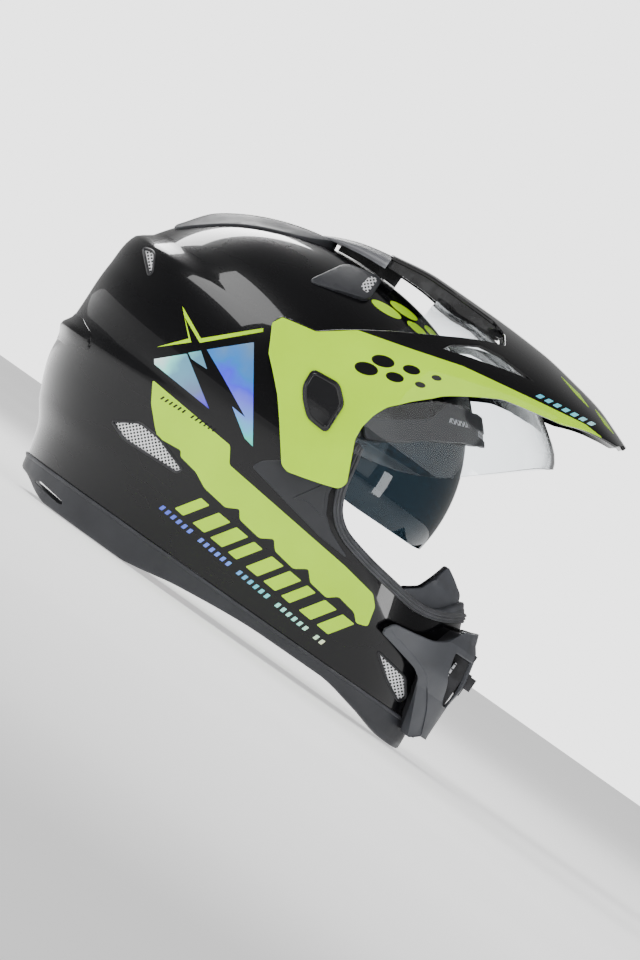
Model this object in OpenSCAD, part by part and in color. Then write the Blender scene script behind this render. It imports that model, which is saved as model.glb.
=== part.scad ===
// Full-face off-road helmet with peak, clear shield and inner sun visor.
// +X is forward, +Y is the wearer's left, +Z is up, and the base rests on z = 0.

/* [Shell] */
// Height of the shell's crown above the resting plane
crown_z = 245; // [235:1:255]
// Greatest half width of the shell
shell_half = 122; // [116:1:124]
// Wall thickness of the moulded shell
shell_t = 2.8; // [2:0.1:3.2]
// Height of the shell's lower edge above the resting plane
hem_z = 21; // [18:1:24]

/* [Padding] */
// Depth of the foam impact liner
eps_t = 19; // [15:1:22]
// Depth of the comfort liner in the crown
liner_t = 8; // [5:1:10]
// Depth of a cheek pad
cheek_t = 22; // [16:1:26]

/* [Visors] */
// Greatest radius of the clear shield about its hinge
shield_r = 155; // [150:1:157]
// Thickness of the clear shield
shield_t = 2.2; // [1.8:0.1:2.6]
// Radius of the sun visor about its hinge
lens_r = 105.5; // [103:0.5:105.5]
// Thickness of the sun visor
lens_t = 2; // [1.6:0.1:2.4]

/* [Peak] */
// Thickness of the peak's moulding
peak_t = 2.6; // [2:0.1:3]
// Half width over the peak's side arms
arm_half = 129.5; // [128.5:0.1:130]

/* [Strap] */
// Width of the strap webbing
strap_w = 22; // [18:1:25]
// Thickness of the strap webbing
strap_t = 2; // [1.5:0.1:2.5]

/* [Hidden] */

gap = 0.3;
liner_gap = 1;
mid_x = -25;
dome_z = 130;
dome_p = 2.2;
plan_p = 2.1;
hinge_x = -7;
hinge_z = 158;
lens_x = -5.6;
lens_z = 132.5;
lens_half = 108;
shield_half = 125.7;
cover_half = 131.6;
port_wall = 7;
strap_x = -20;
post_r = 5;
visor_slide = [0, 108.4, 24];

// Half width, front radius and rear radius of the shell against height, about x = mid_x.
half_rows = [[0, 98], [20, 104], [60, 116], [100, 121], [130, shell_half], [260, shell_half]];
front_rows = [[0, 186], [20, 184], [50, 183], [85, 176], [100, 170], [150, 150], [185, 131], [260, 128]];
rear_rows = [[0, 117], [24, 122], [40, 127], [56, 137], [88, 148], [104, 149], [112, 148], [150, 150],
  [176, 155], [184, 149], [260, 147]];

// Side outlines, as x and z pairs.
eye_port = [[37, 118], [44, 105], [54, 98], [77, 92.5], [118, 87], [134, 91], [150, 102], [240, 103],
  [240, 200], [92, 192], [60, 174], [30, 151], [34, 135]];
peak_side = [[-26, 263], [-10, 280], [180, 280], [167, 247], [163, 244], [151, 242.5], [126, 234], [85, 225],
  [68, 215], [52, 204], [38, 190], [27, 178], [23, 169], [21, 158], [22, 149], [34, 123], [32, 118],
  [-1, 108], [-6, 109.5], [-63, 180], [-61, 186], [-37, 191], [-16, 207], [11, 224], [33, 237], [49, 246],
  [62, 253], [70, 260], [56, 254.5], [14, 256.5], [-11, 259]];
ridge_plan = [[-90, 14], [-26, 29], [20, 36], [52, 44], [64, 60], [68, 84], [67, 200], [-90, 200]];
peak_vent = [[36, 229], [41, 235], [55, 245.5], [109, 249.5], [97, 246], [61, 237]];
ridge_rows = [[-78, 241], [-64, 250], [-45, 258], [-22, 263], [7, 267], [50, 267.4], [90, 266], [119, 262],
  [140, 258], [160, 251], [170, 247]];
arm_rows = [[-80, 128.5], [-10, arm_half], [30, arm_half], [60, 123], [100, 106], [140, 84], [160, 68],
  [170, 56]];
spring_rows = [[-80, 150], [-30, 173], [0, 181], [30, 191], [60, 206], [100, 223], [140, 235], [170, 240]];
shield_rows = [[-180, 101], [-90, 140], [-40, shield_r], [19, shield_r], [31, 142], [45, 127.5],
  [60, 113.4], [77, 101], [180, 101]];
shield_side = [[-31, 158], [-26, 142], [-7, 134], [15, 139], [42, 144.5], [59, 149], [70, 154], [82, 160],
  [93, 169], [113, 186], [137, 207], [160, 220], [160, 270], [15, 270], [13, 234], [-10, 200], [-27, 172]];
lens_side = [[-22, 124], [-12, 118], [42, 113.5], [94, 114.5], [100, 116], [130, 120], [130, 190], [72, 204],
  [40, 186], [4, 150], [-12, 148], [-22, 141]];
crown_side = [[-200, 32], [-34, 32], [-30, 108], [240, 108], [240, 300], [-200, 300]];
cheek_side = [[-28, 30], [88, 30], [104, 60], [104, 84], [60, 88], [38, 98], [28, 106], [-26, 106]];
chin_side = [[-33, 32], [200, 32], [200, 107], [-29, 107]];
cover_side = [[108, 59], [112, 67], [139, 72], [146, 76], [154, 91], [166, 91], [180, 60], [180, 12],
  [171, 12], [162, 34], [149, 52], [142, 54.5]];
trim_side = [[-21, 97], [-18, 104], [10, 125], [24, 128], [27.5, 122], [28.5, 111], [35, 99], [44, 91.5],
  [62, 84], [40, 85.5], [10, 91]];
brow_side = [[18, 162], [26, 151.5], [60, 174.5], [92, 192.5], [92, 197], [84, 206], [56, 201], [54, 186]];
scoop_side = [[-60, 214], [-46, 239], [-22, 243], [-22, 225]];
rear_vent_side = [[-112, 69], [-96, 79], [-80, 78], [-56, 70], [-58, 66], [-98, 64]];
rear_top_side = [[-158, 172], [-150, 174], [-145, 163], [-147, 159]];
chin_mesh_side = [[112, 47], [138, 43], [146, 32], [143, 27], [128, 35]];

function half_power(c, p) = sign(c) * pow(abs(c), 2 / p);
function dome(z) = pow(1 - pow(min(1, max(0, (z - dome_z) / (crown_z - dome_z))), dome_p), 1 / dome_p);
function true_z(z, t) = z < dome_z ? z : dome_z + (z - dome_z) * (crown_z - dome_z) / (crown_z - t - dome_z);
function shell_ring(z, t, nose, seg) = let (zz = true_z(z, t), k = dome(zz),
    w = (lookup(zz, half_rows) - t) * k,
    f = (lookup(zz, front_rows) - t + nose) * k,
    r = (lookup(zz, rear_rows) - t) * k)
  [for (i = [0:seg - 1]) let (a = 360 * i / seg, c = half_power(cos(a), plan_p))
    [mid_x + (c > 0 ? f : r) * c, w * half_power(sin(a), plan_p), z]];
function rise(j, n, low, high) = low + (high - low) * sin(86 * j / n);

// Closed solid through a stack of loops with the same number of points.
module loft(loops, flip = false) {
  n = len(loops[0]);
  m = len(loops);
  walls = [for (j = [0:m - 2]) for (i = [0:n - 1])
    [j * n + i, (j + 1) * n + i, (j + 1) * n + (i + 1) % n, j * n + (i + 1) % n]];
  tris = [for (w = walls) each [[w[0], w[1], w[2]], [w[0], w[2], w[3]]]];
  faces = concat(tris, [[for (i = [0:n - 1]) i]], [[for (i = [n - 1:-1:0]) (m - 1) * n + i]]);
  polyhedron([for (p = loops) each p], flip ? [for (f = faces) [for (i = [len(f) - 1:-1:0]) f[i]]] : faces);
}

// One watertight moulding from a set of curved solids.
module moulded() resize([0, 0, 0]) children();

// Solid inside the shell's surface, t further in, from height low up.
module head(t, low, nose = 0, seg = 40, rows = 18)
  loft([for (j = [0:rows]) shell_ring(rise(j, rows, low, crown_z - t), t, nose, seg)]);

// Skin between two depths below the shell's surface.
module skin(t0, t1, low, nose = 0, seg = 40, rows = 18) difference() {
  head(t0, low, nose, seg, rows);
  head(t1, low - 5, nose, seg, rows);
}

// Prism across the helmet with a side outline, grown by r.
module side(outline, r = 0) rotate([90, 0, 0]) linear_extrude(320, center = true)
  offset(delta = r) polygon(outline);

// Half space on one side: s is 1 for the left and -1 for the right.
module flank(s, from = 0) translate([-250, s > 0 ? from : -200, -50]) cube([500, 200 - from, 400]);

// Lens-shaped solid about a cross axis through (x, z).
module disc_body(x, z, half, r, p, seg = 48, rows = 20)
  loft([for (j = [0:rows]) let (b = -84 + 168 * j / rows, y = half * sin(b),
      k = pow(1 - pow(abs(sin(b)), p), 1 / p))
    [for (i = [0:seg - 1]) let (a = 360 * i / seg - 180, q = r[0] == undef ? r : lookup(a, r))
      [x + q * k * cos(a), y, z + q * k * sin(a)]]], true);

module shield_body(t) disc_body(hinge_x, hinge_z, shield_half - t,
  [for (q = shield_rows) [q[0], q[1] - t]], 2.6);
module lens_body(t, seg = 48) disc_body(lens_x, lens_z, lens_half - t, lens_r - t, 2.2, seg, 16);

module outer_shell() color([0.03, 0.03, 0.035]) moulded() difference() {
  skin(0, shell_t, hem_z, 0, 48, 20);
  side(eye_port, port_wall);
  side(rear_vent_side);
  side(rear_top_side);
  intersection() {
    side(chin_mesh_side);
    translate([100, -200, 0]) cube([80, 400, 60]);
  }
  translate([135, -18, 38]) cube([40, 36, 22]);
  translate([-125, -14, 205]) cube([34, 28, 60]);
}

module eps_crown() color([0.15, 0.15, 0.16]) moulded() intersection() {
  skin(shell_t + liner_gap, shell_t + eps_t, hem_z - 5, 0, 32, 20);
  side(crown_side);
  union() {
    lens_body(lens_t + 1.2, 36);
    translate([-250, -200, 0]) cube([190, 400, 300]);
  }
  difference() {
    translate([-300, -200, 0]) cube([600, 400, 300]);
    side(eye_port, port_wall + 3);
    translate([-30, -200, 108]) cube([80, 400, 50]);
  }
}

module eps_chin() color([0.15, 0.15, 0.16]) moulded() intersection() {
  skin(shell_t + liner_gap, shell_t + eps_t, hem_z + gap, 0, 36, 12);
  side(chin_side);
  difference() {
    translate([-300, -200, 0]) cube([600, 400, 300]);
    side(eye_port, port_wall + 3);
    translate([120, -22, 34]) cube([80, 44, 34]);
    for (s = [-1, 1]) translate([strap_x - 14, s > 0 ? 86 : -126, 20]) cube([28, 40, 42]);
  }
}

module crown_liner() color([0.09, 0.09, 0.1]) moulded() difference() {
  intersection() {
    skin(shell_t + eps_t + 2 * liner_gap, shell_t + eps_t + liner_t, 40, 0, 32, 10);
    side(crown_side, -3);
  }
  side(eye_port, port_wall + 12);
  translate([-22, -200, 100]) cube([90, 400, 62]);
}

module cheek_pad(s) color([0.1, 0.1, 0.11]) moulded() intersection() {
  skin(shell_t + eps_t + 2 * liner_gap, shell_t + eps_t + cheek_t, 22, 0, 32, 10);
  side(cheek_side);
  flank(s, 20);
}
module cheek_pad_right() cheek_pad(-1);
module cheek_pad_left() cheek_pad(1);

module neck_roll() color([0.1, 0.1, 0.11]) moulded() intersection() {
  skin(11, 30, 6, 0, 32, 12);
  translate([-250, -200, 9]) cube([214, 400, 20]);
}

module base_trim() color([0.17, 0.18, 0.2]) moulded() difference() {
  intersection() {
    skin(-0.6, 7.5, -5, 0, 48, 30);
    translate([-300, -200, 0]) cube([600, 400, hem_z - gap]);
  }
  side([[-56, -8], [-52, 1], [-13, 7.5], [48, 12.5], [91, 12.5], [123, 7], [148, 1], [150, -8]]);
  side([[-124, -8], [-124, 0.5], [-144, 10], [-180, 12], [-180, -8]]);
  side([[-131, 8], [-128, 10.6], [-108, 8.4], [-107, 6.4], [-110, 5.6]]);
}

module eyeport_gasket() color([0.2, 0.2, 0.22]) moulded() intersection() {
  skin(-2.2, 4.5, 40, 0, 48, 20);
  difference() {
    side(eye_port, port_wall - gap);
    side(eye_port);
    translate([-50, -200, 150]) cube([400, 400, 100]);
  }
}

module brow_frame() color([0.16, 0.16, 0.18]) moulded() intersection() {
  difference() {
    head(-3.5, 120, 6, 40, 16);
    lens_body(-1.2);
    head(-0.5, 110, 1, 40, 16);
  }
  difference() {
    side(brow_side, -0.2);
    translate([66, -70, 194.5]) cube([60, 140, 5]);
  }
}

module brow_mesh() color([0.85, 0.85, 0.86]) moulded() intersection() {
  skin(-2.2, -1, 120, 5, 40, 16);
  translate([66, -69.5, 194.8]) cube([60, 139, 4.4]);
}

module nose_guard() color([0.16, 0.16, 0.18]) moulded() intersection() {
  skin(5.2, 7.4, 60, 0, 28, 10);
  side([[103, 88], [115, 97], [120, 115.5], [133, 108], [146, 101], [146, 92], [118, 86.5]]);
}

module chin_cover() color([0.17, 0.18, 0.2]) moulded() difference() {
  intersection() {
    difference() {
      head(-1.2, 4, 15, 48, 28);
      head(-0.4, 0, 0, 48, 28);
    }
    side(cover_side);
  }
  for (s = [-1, 1]) hull() {
    translate([120, s * 20, 46]) rotate([0, 90, 0]) cylinder(h = 80, r = 5, $fn = 24);
    translate([120, s * 40, 66]) rotate([0, 90, 0]) cylinder(h = 80, r = 5, $fn = 24);
    translate([120, s * 20, 66]) rotate([0, 90, 0]) cylinder(h = 80, r = 5, $fn = 24);
  }
  translate([120, -7.4, 44]) cube([80, 14.8, 32]);
  front_pocket();
}

// Room behind the cover's front wall.
module front_pocket() intersection() {
  head(1.8, 4, 15, 48, 28);
  translate([139, -48, 30]) cube([40, 96, 48]);
}

module chin_grille() color([0.75, 0.76, 0.78]) translate([158.9, -32, 38]) difference() {
  cube([1.4, 64, 31]);
  for (i = [0:5]) for (j = [0:2])
    translate([-1, 4 + i * 10, 4 + j * 9]) cube([4, 6, 5]);
}

module chin_vent_slider() color([0.1, 0.1, 0.11]) {
  translate([161, -7, 52]) cube([12.6, 14, 16]);
  translate([173, -5, 58]) cube([4.7, 10, 9]);
}

module chin_side_mesh(s) color([0.85, 0.85, 0.86]) moulded() intersection() {
  skin(0.8, 2.2, hem_z, 0, 48, 20);
  side(chin_mesh_side, -gap);
  flank(s);
}
module chin_side_mesh_right() chin_side_mesh(-1);
module chin_side_mesh_left() chin_side_mesh(1);

module rear_vent(s) color([0.8, 0.8, 0.82]) moulded() intersection() {
  skin(0.8, 2.2, hem_z, 0, 48, 20);
  side(rear_vent_side, -gap);
  flank(s);
}
module rear_vent_right() rear_vent(-1);
module rear_vent_left() rear_vent(1);

module rear_top_mesh(s) color([0.85, 0.85, 0.86]) moulded() intersection() {
  skin(0.8, 2.2, hem_z, 0, 48, 20);
  side(rear_top_side, -gap);
  flank(s);
}
module rear_top_mesh_right() rear_top_mesh(-1);
module rear_top_mesh_left() rear_top_mesh(1);

module rear_spoiler() color([0.04, 0.04, 0.045]) moulded() intersection() {
  skin(-4, -0.9, 90, 0, 40, 16);
  side([[-185, 92], [-150, 92], [-158, 112], [-185, 112]]);
  translate([-250, -70, 0]) cube([200, 140, 300]);
}

module top_vent_cover() color([0.12, 0.12, 0.13]) moulded() difference() {
  intersection() {
    skin(-2.6, -0.8, 180, 0, 40, 24);
    translate([-160, -34, 180]) cube([104, 68, 80]);
    side([[-152, 194], [-141, 194.5], [-60, 236], [-60, 270], [-160, 270]]);
  }
  translate([-122, -8.3, 190]) cube([28, 16.6, 80]);
}

module top_vent_slider() color([0.2, 0.2, 0.22]) moulded() intersection() {
  skin(-4.2, 1, 200, 0, 40, 24);
  translate([-121, -8, 190]) cube([18, 16, 80]);
}

module forehead_scoop(s) color([0.13, 0.13, 0.14]) moulded() intersection() {
  skin(-3, -0.8, 180, 0, 40, 24);
  side(scoop_side);
  flank(s, 34);
}
module forehead_scoop_right() forehead_scoop(-1);
module forehead_scoop_left() forehead_scoop(1);

module side_trim(s) color([0.16, 0.16, 0.18]) moulded() intersection() {
  skin(-1.2, -0.4, 60, 0, 48, 20);
  difference() {
    side(trim_side);
    side(eye_port, port_wall + gap);
  }
  flank(s);
}
module side_trim_right() side_trim(-1);
module side_trim_left() side_trim(1);

// Cross section of the peak at x, t inside its outer face, from one arm's foot to the other.
function arch(x, t) = let (w = lookup(x, arm_rows) - t, top = lookup(x, ridge_rows) - t,
    low = lookup(x, spring_rows), p = 2.1)
  concat([[x, w, 100]], [for (i = [0:18]) let (a = 10 * i)
    [x, w * half_power(cos(a), p), low + (top - low) * half_power(sin(a), p)]], [[x, -w, 100]]);
function peak_loop(x) = let (inner = arch(x, peak_t), n = len(inner))
  concat(arch(x, 0), [for (i = [n - 1:-1:0]) inner[i]]);

module peak() color([0.82, 0.95, 0.02]) moulded() difference() {
  intersection() {
    loft([for (x = [-66, -40, -10, 10, 30, 45, 60, 80, 100, 120, 140, 155, 168]) peak_loop(x)]);
    side(peak_side);
  }
  side(peak_vent);
  for (s = [-1, 1]) {
    translate([0, 0, 249]) linear_extrude(40) scale([1, s]) polygon(ridge_plan);
    translate([hinge_x, s * 128, hinge_z]) rotate([90, 0, 0])
      cylinder(h = 12, r = post_r + 0.2, center = true, $fn = 32);
  }
}

function fin_loop(x) = let (top = lookup(x, ridge_rows), w = 12 + (x + 78) * 0.45,
    low = lookup(x, [[-70, 244.6], [-60, 247], [-40, 250], [-26, 251]]))
  concat([[x, w, low]], [for (i = [1:7]) let (a = 22.5 * i)
    [x, w * cos(a), low + 1 + (top - low - 1) * half_power(sin(a), 2.2)]], [[x, -w, low]]);

module peak_fin() color([0.5, 0.5, 0.53])
  loft([for (x = [-70, -66, -60, -52, -40, -27]) fin_loop(x)]);

module pivot_cover(s) color([0.1, 0.1, 0.11])
  translate([0, s * (arm_half + gap + (cover_half - arm_half - gap) / 2), 0]) rotate([90, 0, 0])
  linear_extrude(cover_half - arm_half - gap, center = true)
  polygon([[-25, 170], [-6, 172], [4, 163], [5, 142], [-10, 143], [-19, 151], [-24, 158]]);
module pivot_cover_right() pivot_cover(-1);
module pivot_cover_left() pivot_cover(1);

// Posts on the shell that carry the shield hubs and the peak's arms.
module pivot_posts() color([0.6, 0.6, 0.62]) for (s = [-1, 1])
  translate([hinge_x, s * (120.1 + arm_half) / 2, hinge_z]) rotate([90, 0, 0])
  cylinder(h = arm_half - 120.1, r = post_r, center = true, $fn = 48);

module clear_shield() color([0.8, 0.88, 0.92, 0.4]) moulded() difference() {
  intersection() {
    difference() {
      shield_body(0);
      shield_body(shield_t);
    }
    side(shield_side);
  }
  for (s = [-1, 1]) translate([hinge_x, s * 124, hinge_z]) rotate([90, 0, 0])
    cylinder(h = 16, r = 8.4, center = true, $fn = 32);
}

module shield_plate(s) color([0.12, 0.12, 0.13]) translate([hinge_x, 0, hinge_z]) rotate([s * -90, 0, 0])
  difference() {
    union() {
      translate([0, 0, 122.9]) cylinder(h = 3, r = 8, $fn = 48);
      translate([0, 0, 125.3]) cylinder(h = 1.1, r = 14, $fn = 48);
    }
    translate([0, 0, 120]) cylinder(h = 10, r = post_r + 0.06, $fn = 48);
  }
module shield_plate_right() shield_plate(-1);
module shield_plate_left() shield_plate(1);

module sun_visor() color([0.12, 0.2, 0.24, 0.8]) moulded() difference() {
  intersection() {
    difference() {
      lens_body(0);
      lens_body(lens_t);
    }
    side(lens_side);
  }
  for (s = [-1, 1]) translate([lens_x, s * 104, lens_z]) rotate([90, 0, 0])
    cylinder(h = 30, r = 4.3, center = true, $fn = 32);
}

module sun_visor_pins() color([0.12, 0.12, 0.13]) for (s = [-1, 1])
  translate([lens_x, s * 109, lens_z]) rotate([90, 0, 0]) cylinder(h = 16, r = 4, center = true, $fn = 32);

module sun_visor_slider() color([0.1, 0.1, 0.11]) translate(visor_slide) {
  cube([18, 3.2, 8]);
  for (i = [0:3]) translate([3 + i * 3.4, 3, 0.8]) cube([1.6, 1, 6.4]);
}

module chin_curtain() color([0.08, 0.08, 0.09]) moulded() intersection() {
  skin(9, 42, 10, 0, 32, 14);
  translate([62, -200, 16.5]) cube([120, 400, 3]);
}

// Webbing from the rivet on the shell, under the cheek pad and in to the buckle.
module strap(s, reach) color([0.07, 0.07, 0.08]) difference() {
  translate([strap_x - strap_w / 2, 0, 0]) rotate([90, 0, 90]) linear_extrude(strap_w)
    polygon([[s * 104.2, 56], [s * 104.2, 33], [s * 93, 26], [s * 60, 24], [s * reach, 24],
      [s * reach, 24 + strap_t], [s * 60, 24 + strap_t], [s * 92.5, 26 + strap_t],
      [s * (104.2 - strap_t), 34.4], [s * (104.2 - strap_t), 56]]);
  translate([strap_x, s * 103.2, 46]) rotate([90, 0, 0]) cylinder(h = 8, r = 3.3, center = true, $fn = 32);
}
module strap_right() strap(-1, 14);
module strap_left() strap(1, 26);

module strap_rivets() color([0.55, 0.56, 0.58]) for (s = [-1, 1]) translate([strap_x, 0, 46])
  rotate([s * -90, 0, 0]) {
    translate([0, 0, 99.9]) cylinder(h = 1.8, r = 5.5, $fn = 32);
    translate([0, 0, 101]) cylinder(h = 7, r = 3, $fn = 32);
  }

module buckle_body() color([0.5, 0.51, 0.53]) difference() {
  translate([strap_x - 14, -6, 18]) cube([28, 31.7, 10]);
  translate([strap_x - 10, -8, 23]) cube([20, 30, 3.4]);
  translate([strap_x - 10, -2, 17]) cube([20, 21, 4.4]);
}
module buckle_tongue() color([0.7, 0.71, 0.73]) translate([strap_x - 9, -13.7, 23.6]) cube([18, 30, 2.2]);
module buckle_lever() color([0.75, 0.1, 0.1]) translate([strap_x - 9.6, 17, 19.6]) {
  translate([0, -18.6, -1.3]) cube([19.2, 18.6, 2.6]);
  rotate([0, 90, 0]) cylinder(h = 19.2, r = 1.3, $fn = 32);
}

outer_shell();
eps_crown();
eps_chin();
crown_liner();
cheek_pad_right();
cheek_pad_left();
neck_roll();
base_trim();
eyeport_gasket();
brow_frame();
brow_mesh();
nose_guard();
chin_cover();
chin_grille();
chin_vent_slider();
chin_side_mesh_right();
chin_side_mesh_left();
rear_vent_right();
rear_vent_left();
rear_top_mesh_right();
rear_top_mesh_left();
rear_spoiler();
top_vent_cover();
top_vent_slider();
forehead_scoop_right();
forehead_scoop_left();
side_trim_right();
side_trim_left();
peak();
peak_fin();
pivot_cover_right();
pivot_cover_left();
pivot_posts();
clear_shield();
shield_plate_right();
shield_plate_left();
sun_visor();
sun_visor_pins();
sun_visor_slider();
chin_curtain();
strap_right();
strap_left();
strap_rivets();
buckle_body();
buckle_tongue();
buckle_lever();
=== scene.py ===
"""Full-face off-road helmet with a peak, a raised clear shield and a tinted sun visor.

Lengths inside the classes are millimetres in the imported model's frame: +X forward, +Y to the wearer's left
and +Z up. Meshes are written in metres.
"""

import logging
import math
from dataclasses import dataclass, field
from enum import Enum
from typing import Callable, ClassVar, Sequence

import bmesh
import bpy
import numpy as np
from mathutils import Matrix, Vector
from mathutils.geometry import delaunay_2d_cdt


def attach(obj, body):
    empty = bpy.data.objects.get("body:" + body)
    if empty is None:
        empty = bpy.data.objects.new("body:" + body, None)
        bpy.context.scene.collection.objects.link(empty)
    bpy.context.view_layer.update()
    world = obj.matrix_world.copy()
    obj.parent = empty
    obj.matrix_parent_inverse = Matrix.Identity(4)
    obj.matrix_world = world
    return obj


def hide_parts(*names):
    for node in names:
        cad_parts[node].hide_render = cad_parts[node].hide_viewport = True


log = logging.getLogger("helmet")
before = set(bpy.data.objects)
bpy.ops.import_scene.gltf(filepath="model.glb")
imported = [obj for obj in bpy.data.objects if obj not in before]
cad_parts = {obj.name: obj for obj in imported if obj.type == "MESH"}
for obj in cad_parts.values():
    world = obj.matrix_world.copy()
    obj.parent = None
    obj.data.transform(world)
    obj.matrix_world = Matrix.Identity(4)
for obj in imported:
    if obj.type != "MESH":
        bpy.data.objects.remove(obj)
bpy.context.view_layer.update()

MM = 0.001
Pairs = Sequence[tuple[float, float]]
Array = np.ndarray
Mapping = Callable[[Array, Array], tuple[Array, Array]]


class Side(Enum):
    """The wearer's right and left, as the sign of Y."""

    RIGHT = -1
    LEFT = 1

    @property
    def word(self) -> str:
        """The side's name as node names end in it."""
        return self.name.lower()


# ---------------------------------------------------------------- numbers and outlines


class Rows:
    """A smooth curve through a few rows of height or length and value."""

    def __init__(self, rows: Pairs) -> None:
        """Works out monotone slopes.

        Args:
            rows: pairs of place and value, in rising order of place.
        """
        self.x = np.array([r[0] for r in rows], float)
        self.y = np.array([r[1] for r in rows], float)
        step = np.diff(self.x)
        rate = np.diff(self.y) / step
        slope = np.zeros(len(rows))
        slope[0], slope[-1] = rate[0], rate[-1]
        for i in range(1, len(rows) - 1):
            if rate[i - 1] * rate[i] > 0:
                a = 2 * step[i] + step[i - 1]
                b = step[i] + 2 * step[i - 1]
                slope[i] = (a + b) / (a / rate[i - 1] + b / rate[i])
        self.slope = slope

    def __call__(self, at: Array | float) -> Array:
        """The curve's value.

        Args:
            at: places, held to the first and last row.

        Returns:
            The values there.
        """
        at = np.clip(np.asarray(at, float), self.x[0], self.x[-1])
        i = np.clip(np.searchsorted(self.x, at) - 1, 0, len(self.x) - 2)
        h = self.x[i + 1] - self.x[i]
        t = (at - self.x[i]) / h
        low = (1 + 2 * t) * (1 - t) ** 2 * self.y[i] + t * (1 - t) ** 2 * h * self.slope[i]
        high = t * t * (3 - 2 * t) * self.y[i + 1] + t * t * (t - 1) * h * self.slope[i + 1]
        return low + high


def signed_power(value: Array, power: float) -> Array:
    """The value's size to a power, with its sign kept."""
    return np.sign(value) * np.abs(value) ** power


def smooth_step(value: Array, low: float, high: float) -> Array:
    """Goes from 0 at low to 1 at high along a smooth ramp."""
    t = np.clip((value - low) / (high - low), 0, 1)
    return t * t * (3 - 2 * t)


def unit(vectors: Array) -> Array:
    """Rows scaled to a length of one."""
    return vectors / np.maximum(np.linalg.norm(vectors, axis=1), 1e-9)[:, None]


def evenly(path: Array, step: float, least: int = 2) -> Array:
    """Spaces an open path's points evenly.

    Args:
        path: the path's points.
        step: the spacing aimed at.
        least: the fewest points it may end with.

    Returns:
        The new points.
    """
    gap = np.concatenate([[0], np.cumsum(np.linalg.norm(np.diff(path, axis=0), axis=1))])
    even = np.linspace(0, gap[-1], max(least, int(gap[-1] / step)))
    return np.stack([np.interp(even, gap, path[:, i]) for i in range(path.shape[1])], 1)


def area_of(loop: Array) -> float:
    """Signed area of a closed loop, positive when it turns anticlockwise."""
    x, y = loop[:, 0], loop[:, 1]
    return float(np.sum(x * np.roll(y, -1) - np.roll(x, -1) * y) / 2)


def rounded(points: Pairs, radius: float = 0.0, step: float = 2.0, corners: int = 5) -> Array:
    """A closed outline with rounded corners and evenly spaced points.

    Args:
        points: the outline's corners.
        radius: the corner radius, held to what the edges leave room for.
        step: the greatest spacing along an edge.
        corners: the number of points round a corner.

    Returns:
        The loop's points, anticlockwise.
    """
    pts = np.array(points, float)
    if area_of(pts) < 0:
        pts = pts[::-1]
    n = len(pts)
    path = []
    for i in range(n):
        before, here, after = pts[i - 1], pts[i], pts[(i + 1) % n]
        a, b = before - here, after - here
        la, lb = np.linalg.norm(a), np.linalg.norm(b)
        cut = min(radius * 1.4, la * 0.45, lb * 0.45)
        if radius <= 0 or cut < 0.05:
            path.append(here)
            continue
        start, end = here + a / la * cut, here + b / lb * cut
        for t in np.linspace(0, 1, corners):
            path.append((1 - t) ** 2 * start + 2 * t * (1 - t) * here + t * t * end)
    path = np.array(path)
    out = []
    for i in range(len(path)):
        a, b = path[i], path[(i + 1) % len(path)]
        count = max(1, math.ceil(np.linalg.norm(b - a) / step))
        out.extend(a + (b - a) * k / count for k in range(count))
    return np.array(out)


def ellipse(centre: tuple[float, float], size: tuple[float, float], tilt: float, count: int = 28) -> list:
    """Corners of an ellipse with half sizes and a tilt in degrees.

    Args:
        centre: its middle.
        size: its half sizes.
        tilt: degrees.
        count: how many corners.

    Returns:
        The corners.
    """
    c, s = math.cos(math.radians(tilt)), math.sin(math.radians(tilt))
    out = []
    for i in range(count):
        a = 2 * math.pi * i / count
        x, y = size[0] * math.cos(a), size[1] * math.sin(a)
        out.append((centre[0] + c * x - s * y, centre[1] + s * x + c * y))
    return out


def inside(points: Array, loops: Sequence[Array]) -> Array:
    """Which points lie inside an odd number of loops.

    Args:
        points: pairs to test.
        loops: closed loops, an outline and its holes.

    Returns:
        One truth value a point.
    """
    odd = np.zeros(len(points), bool)
    x, y = points[:, 0], points[:, 1]
    for loop in loops:
        ax, ay = loop[:, 0], loop[:, 1]
        bx, by = np.roll(ax, -1), np.roll(ay, -1)
        for i in range(len(loop)):
            if ay[i] == by[i]:
                continue
            across = (ay[i] > y) != (by[i] > y)
            odd ^= across & (x < (bx[i] - ax[i]) * (y - ay[i]) / (by[i] - ay[i]) + ax[i])
    return odd


# ---------------------------------------------------------------- surfaces


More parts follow.
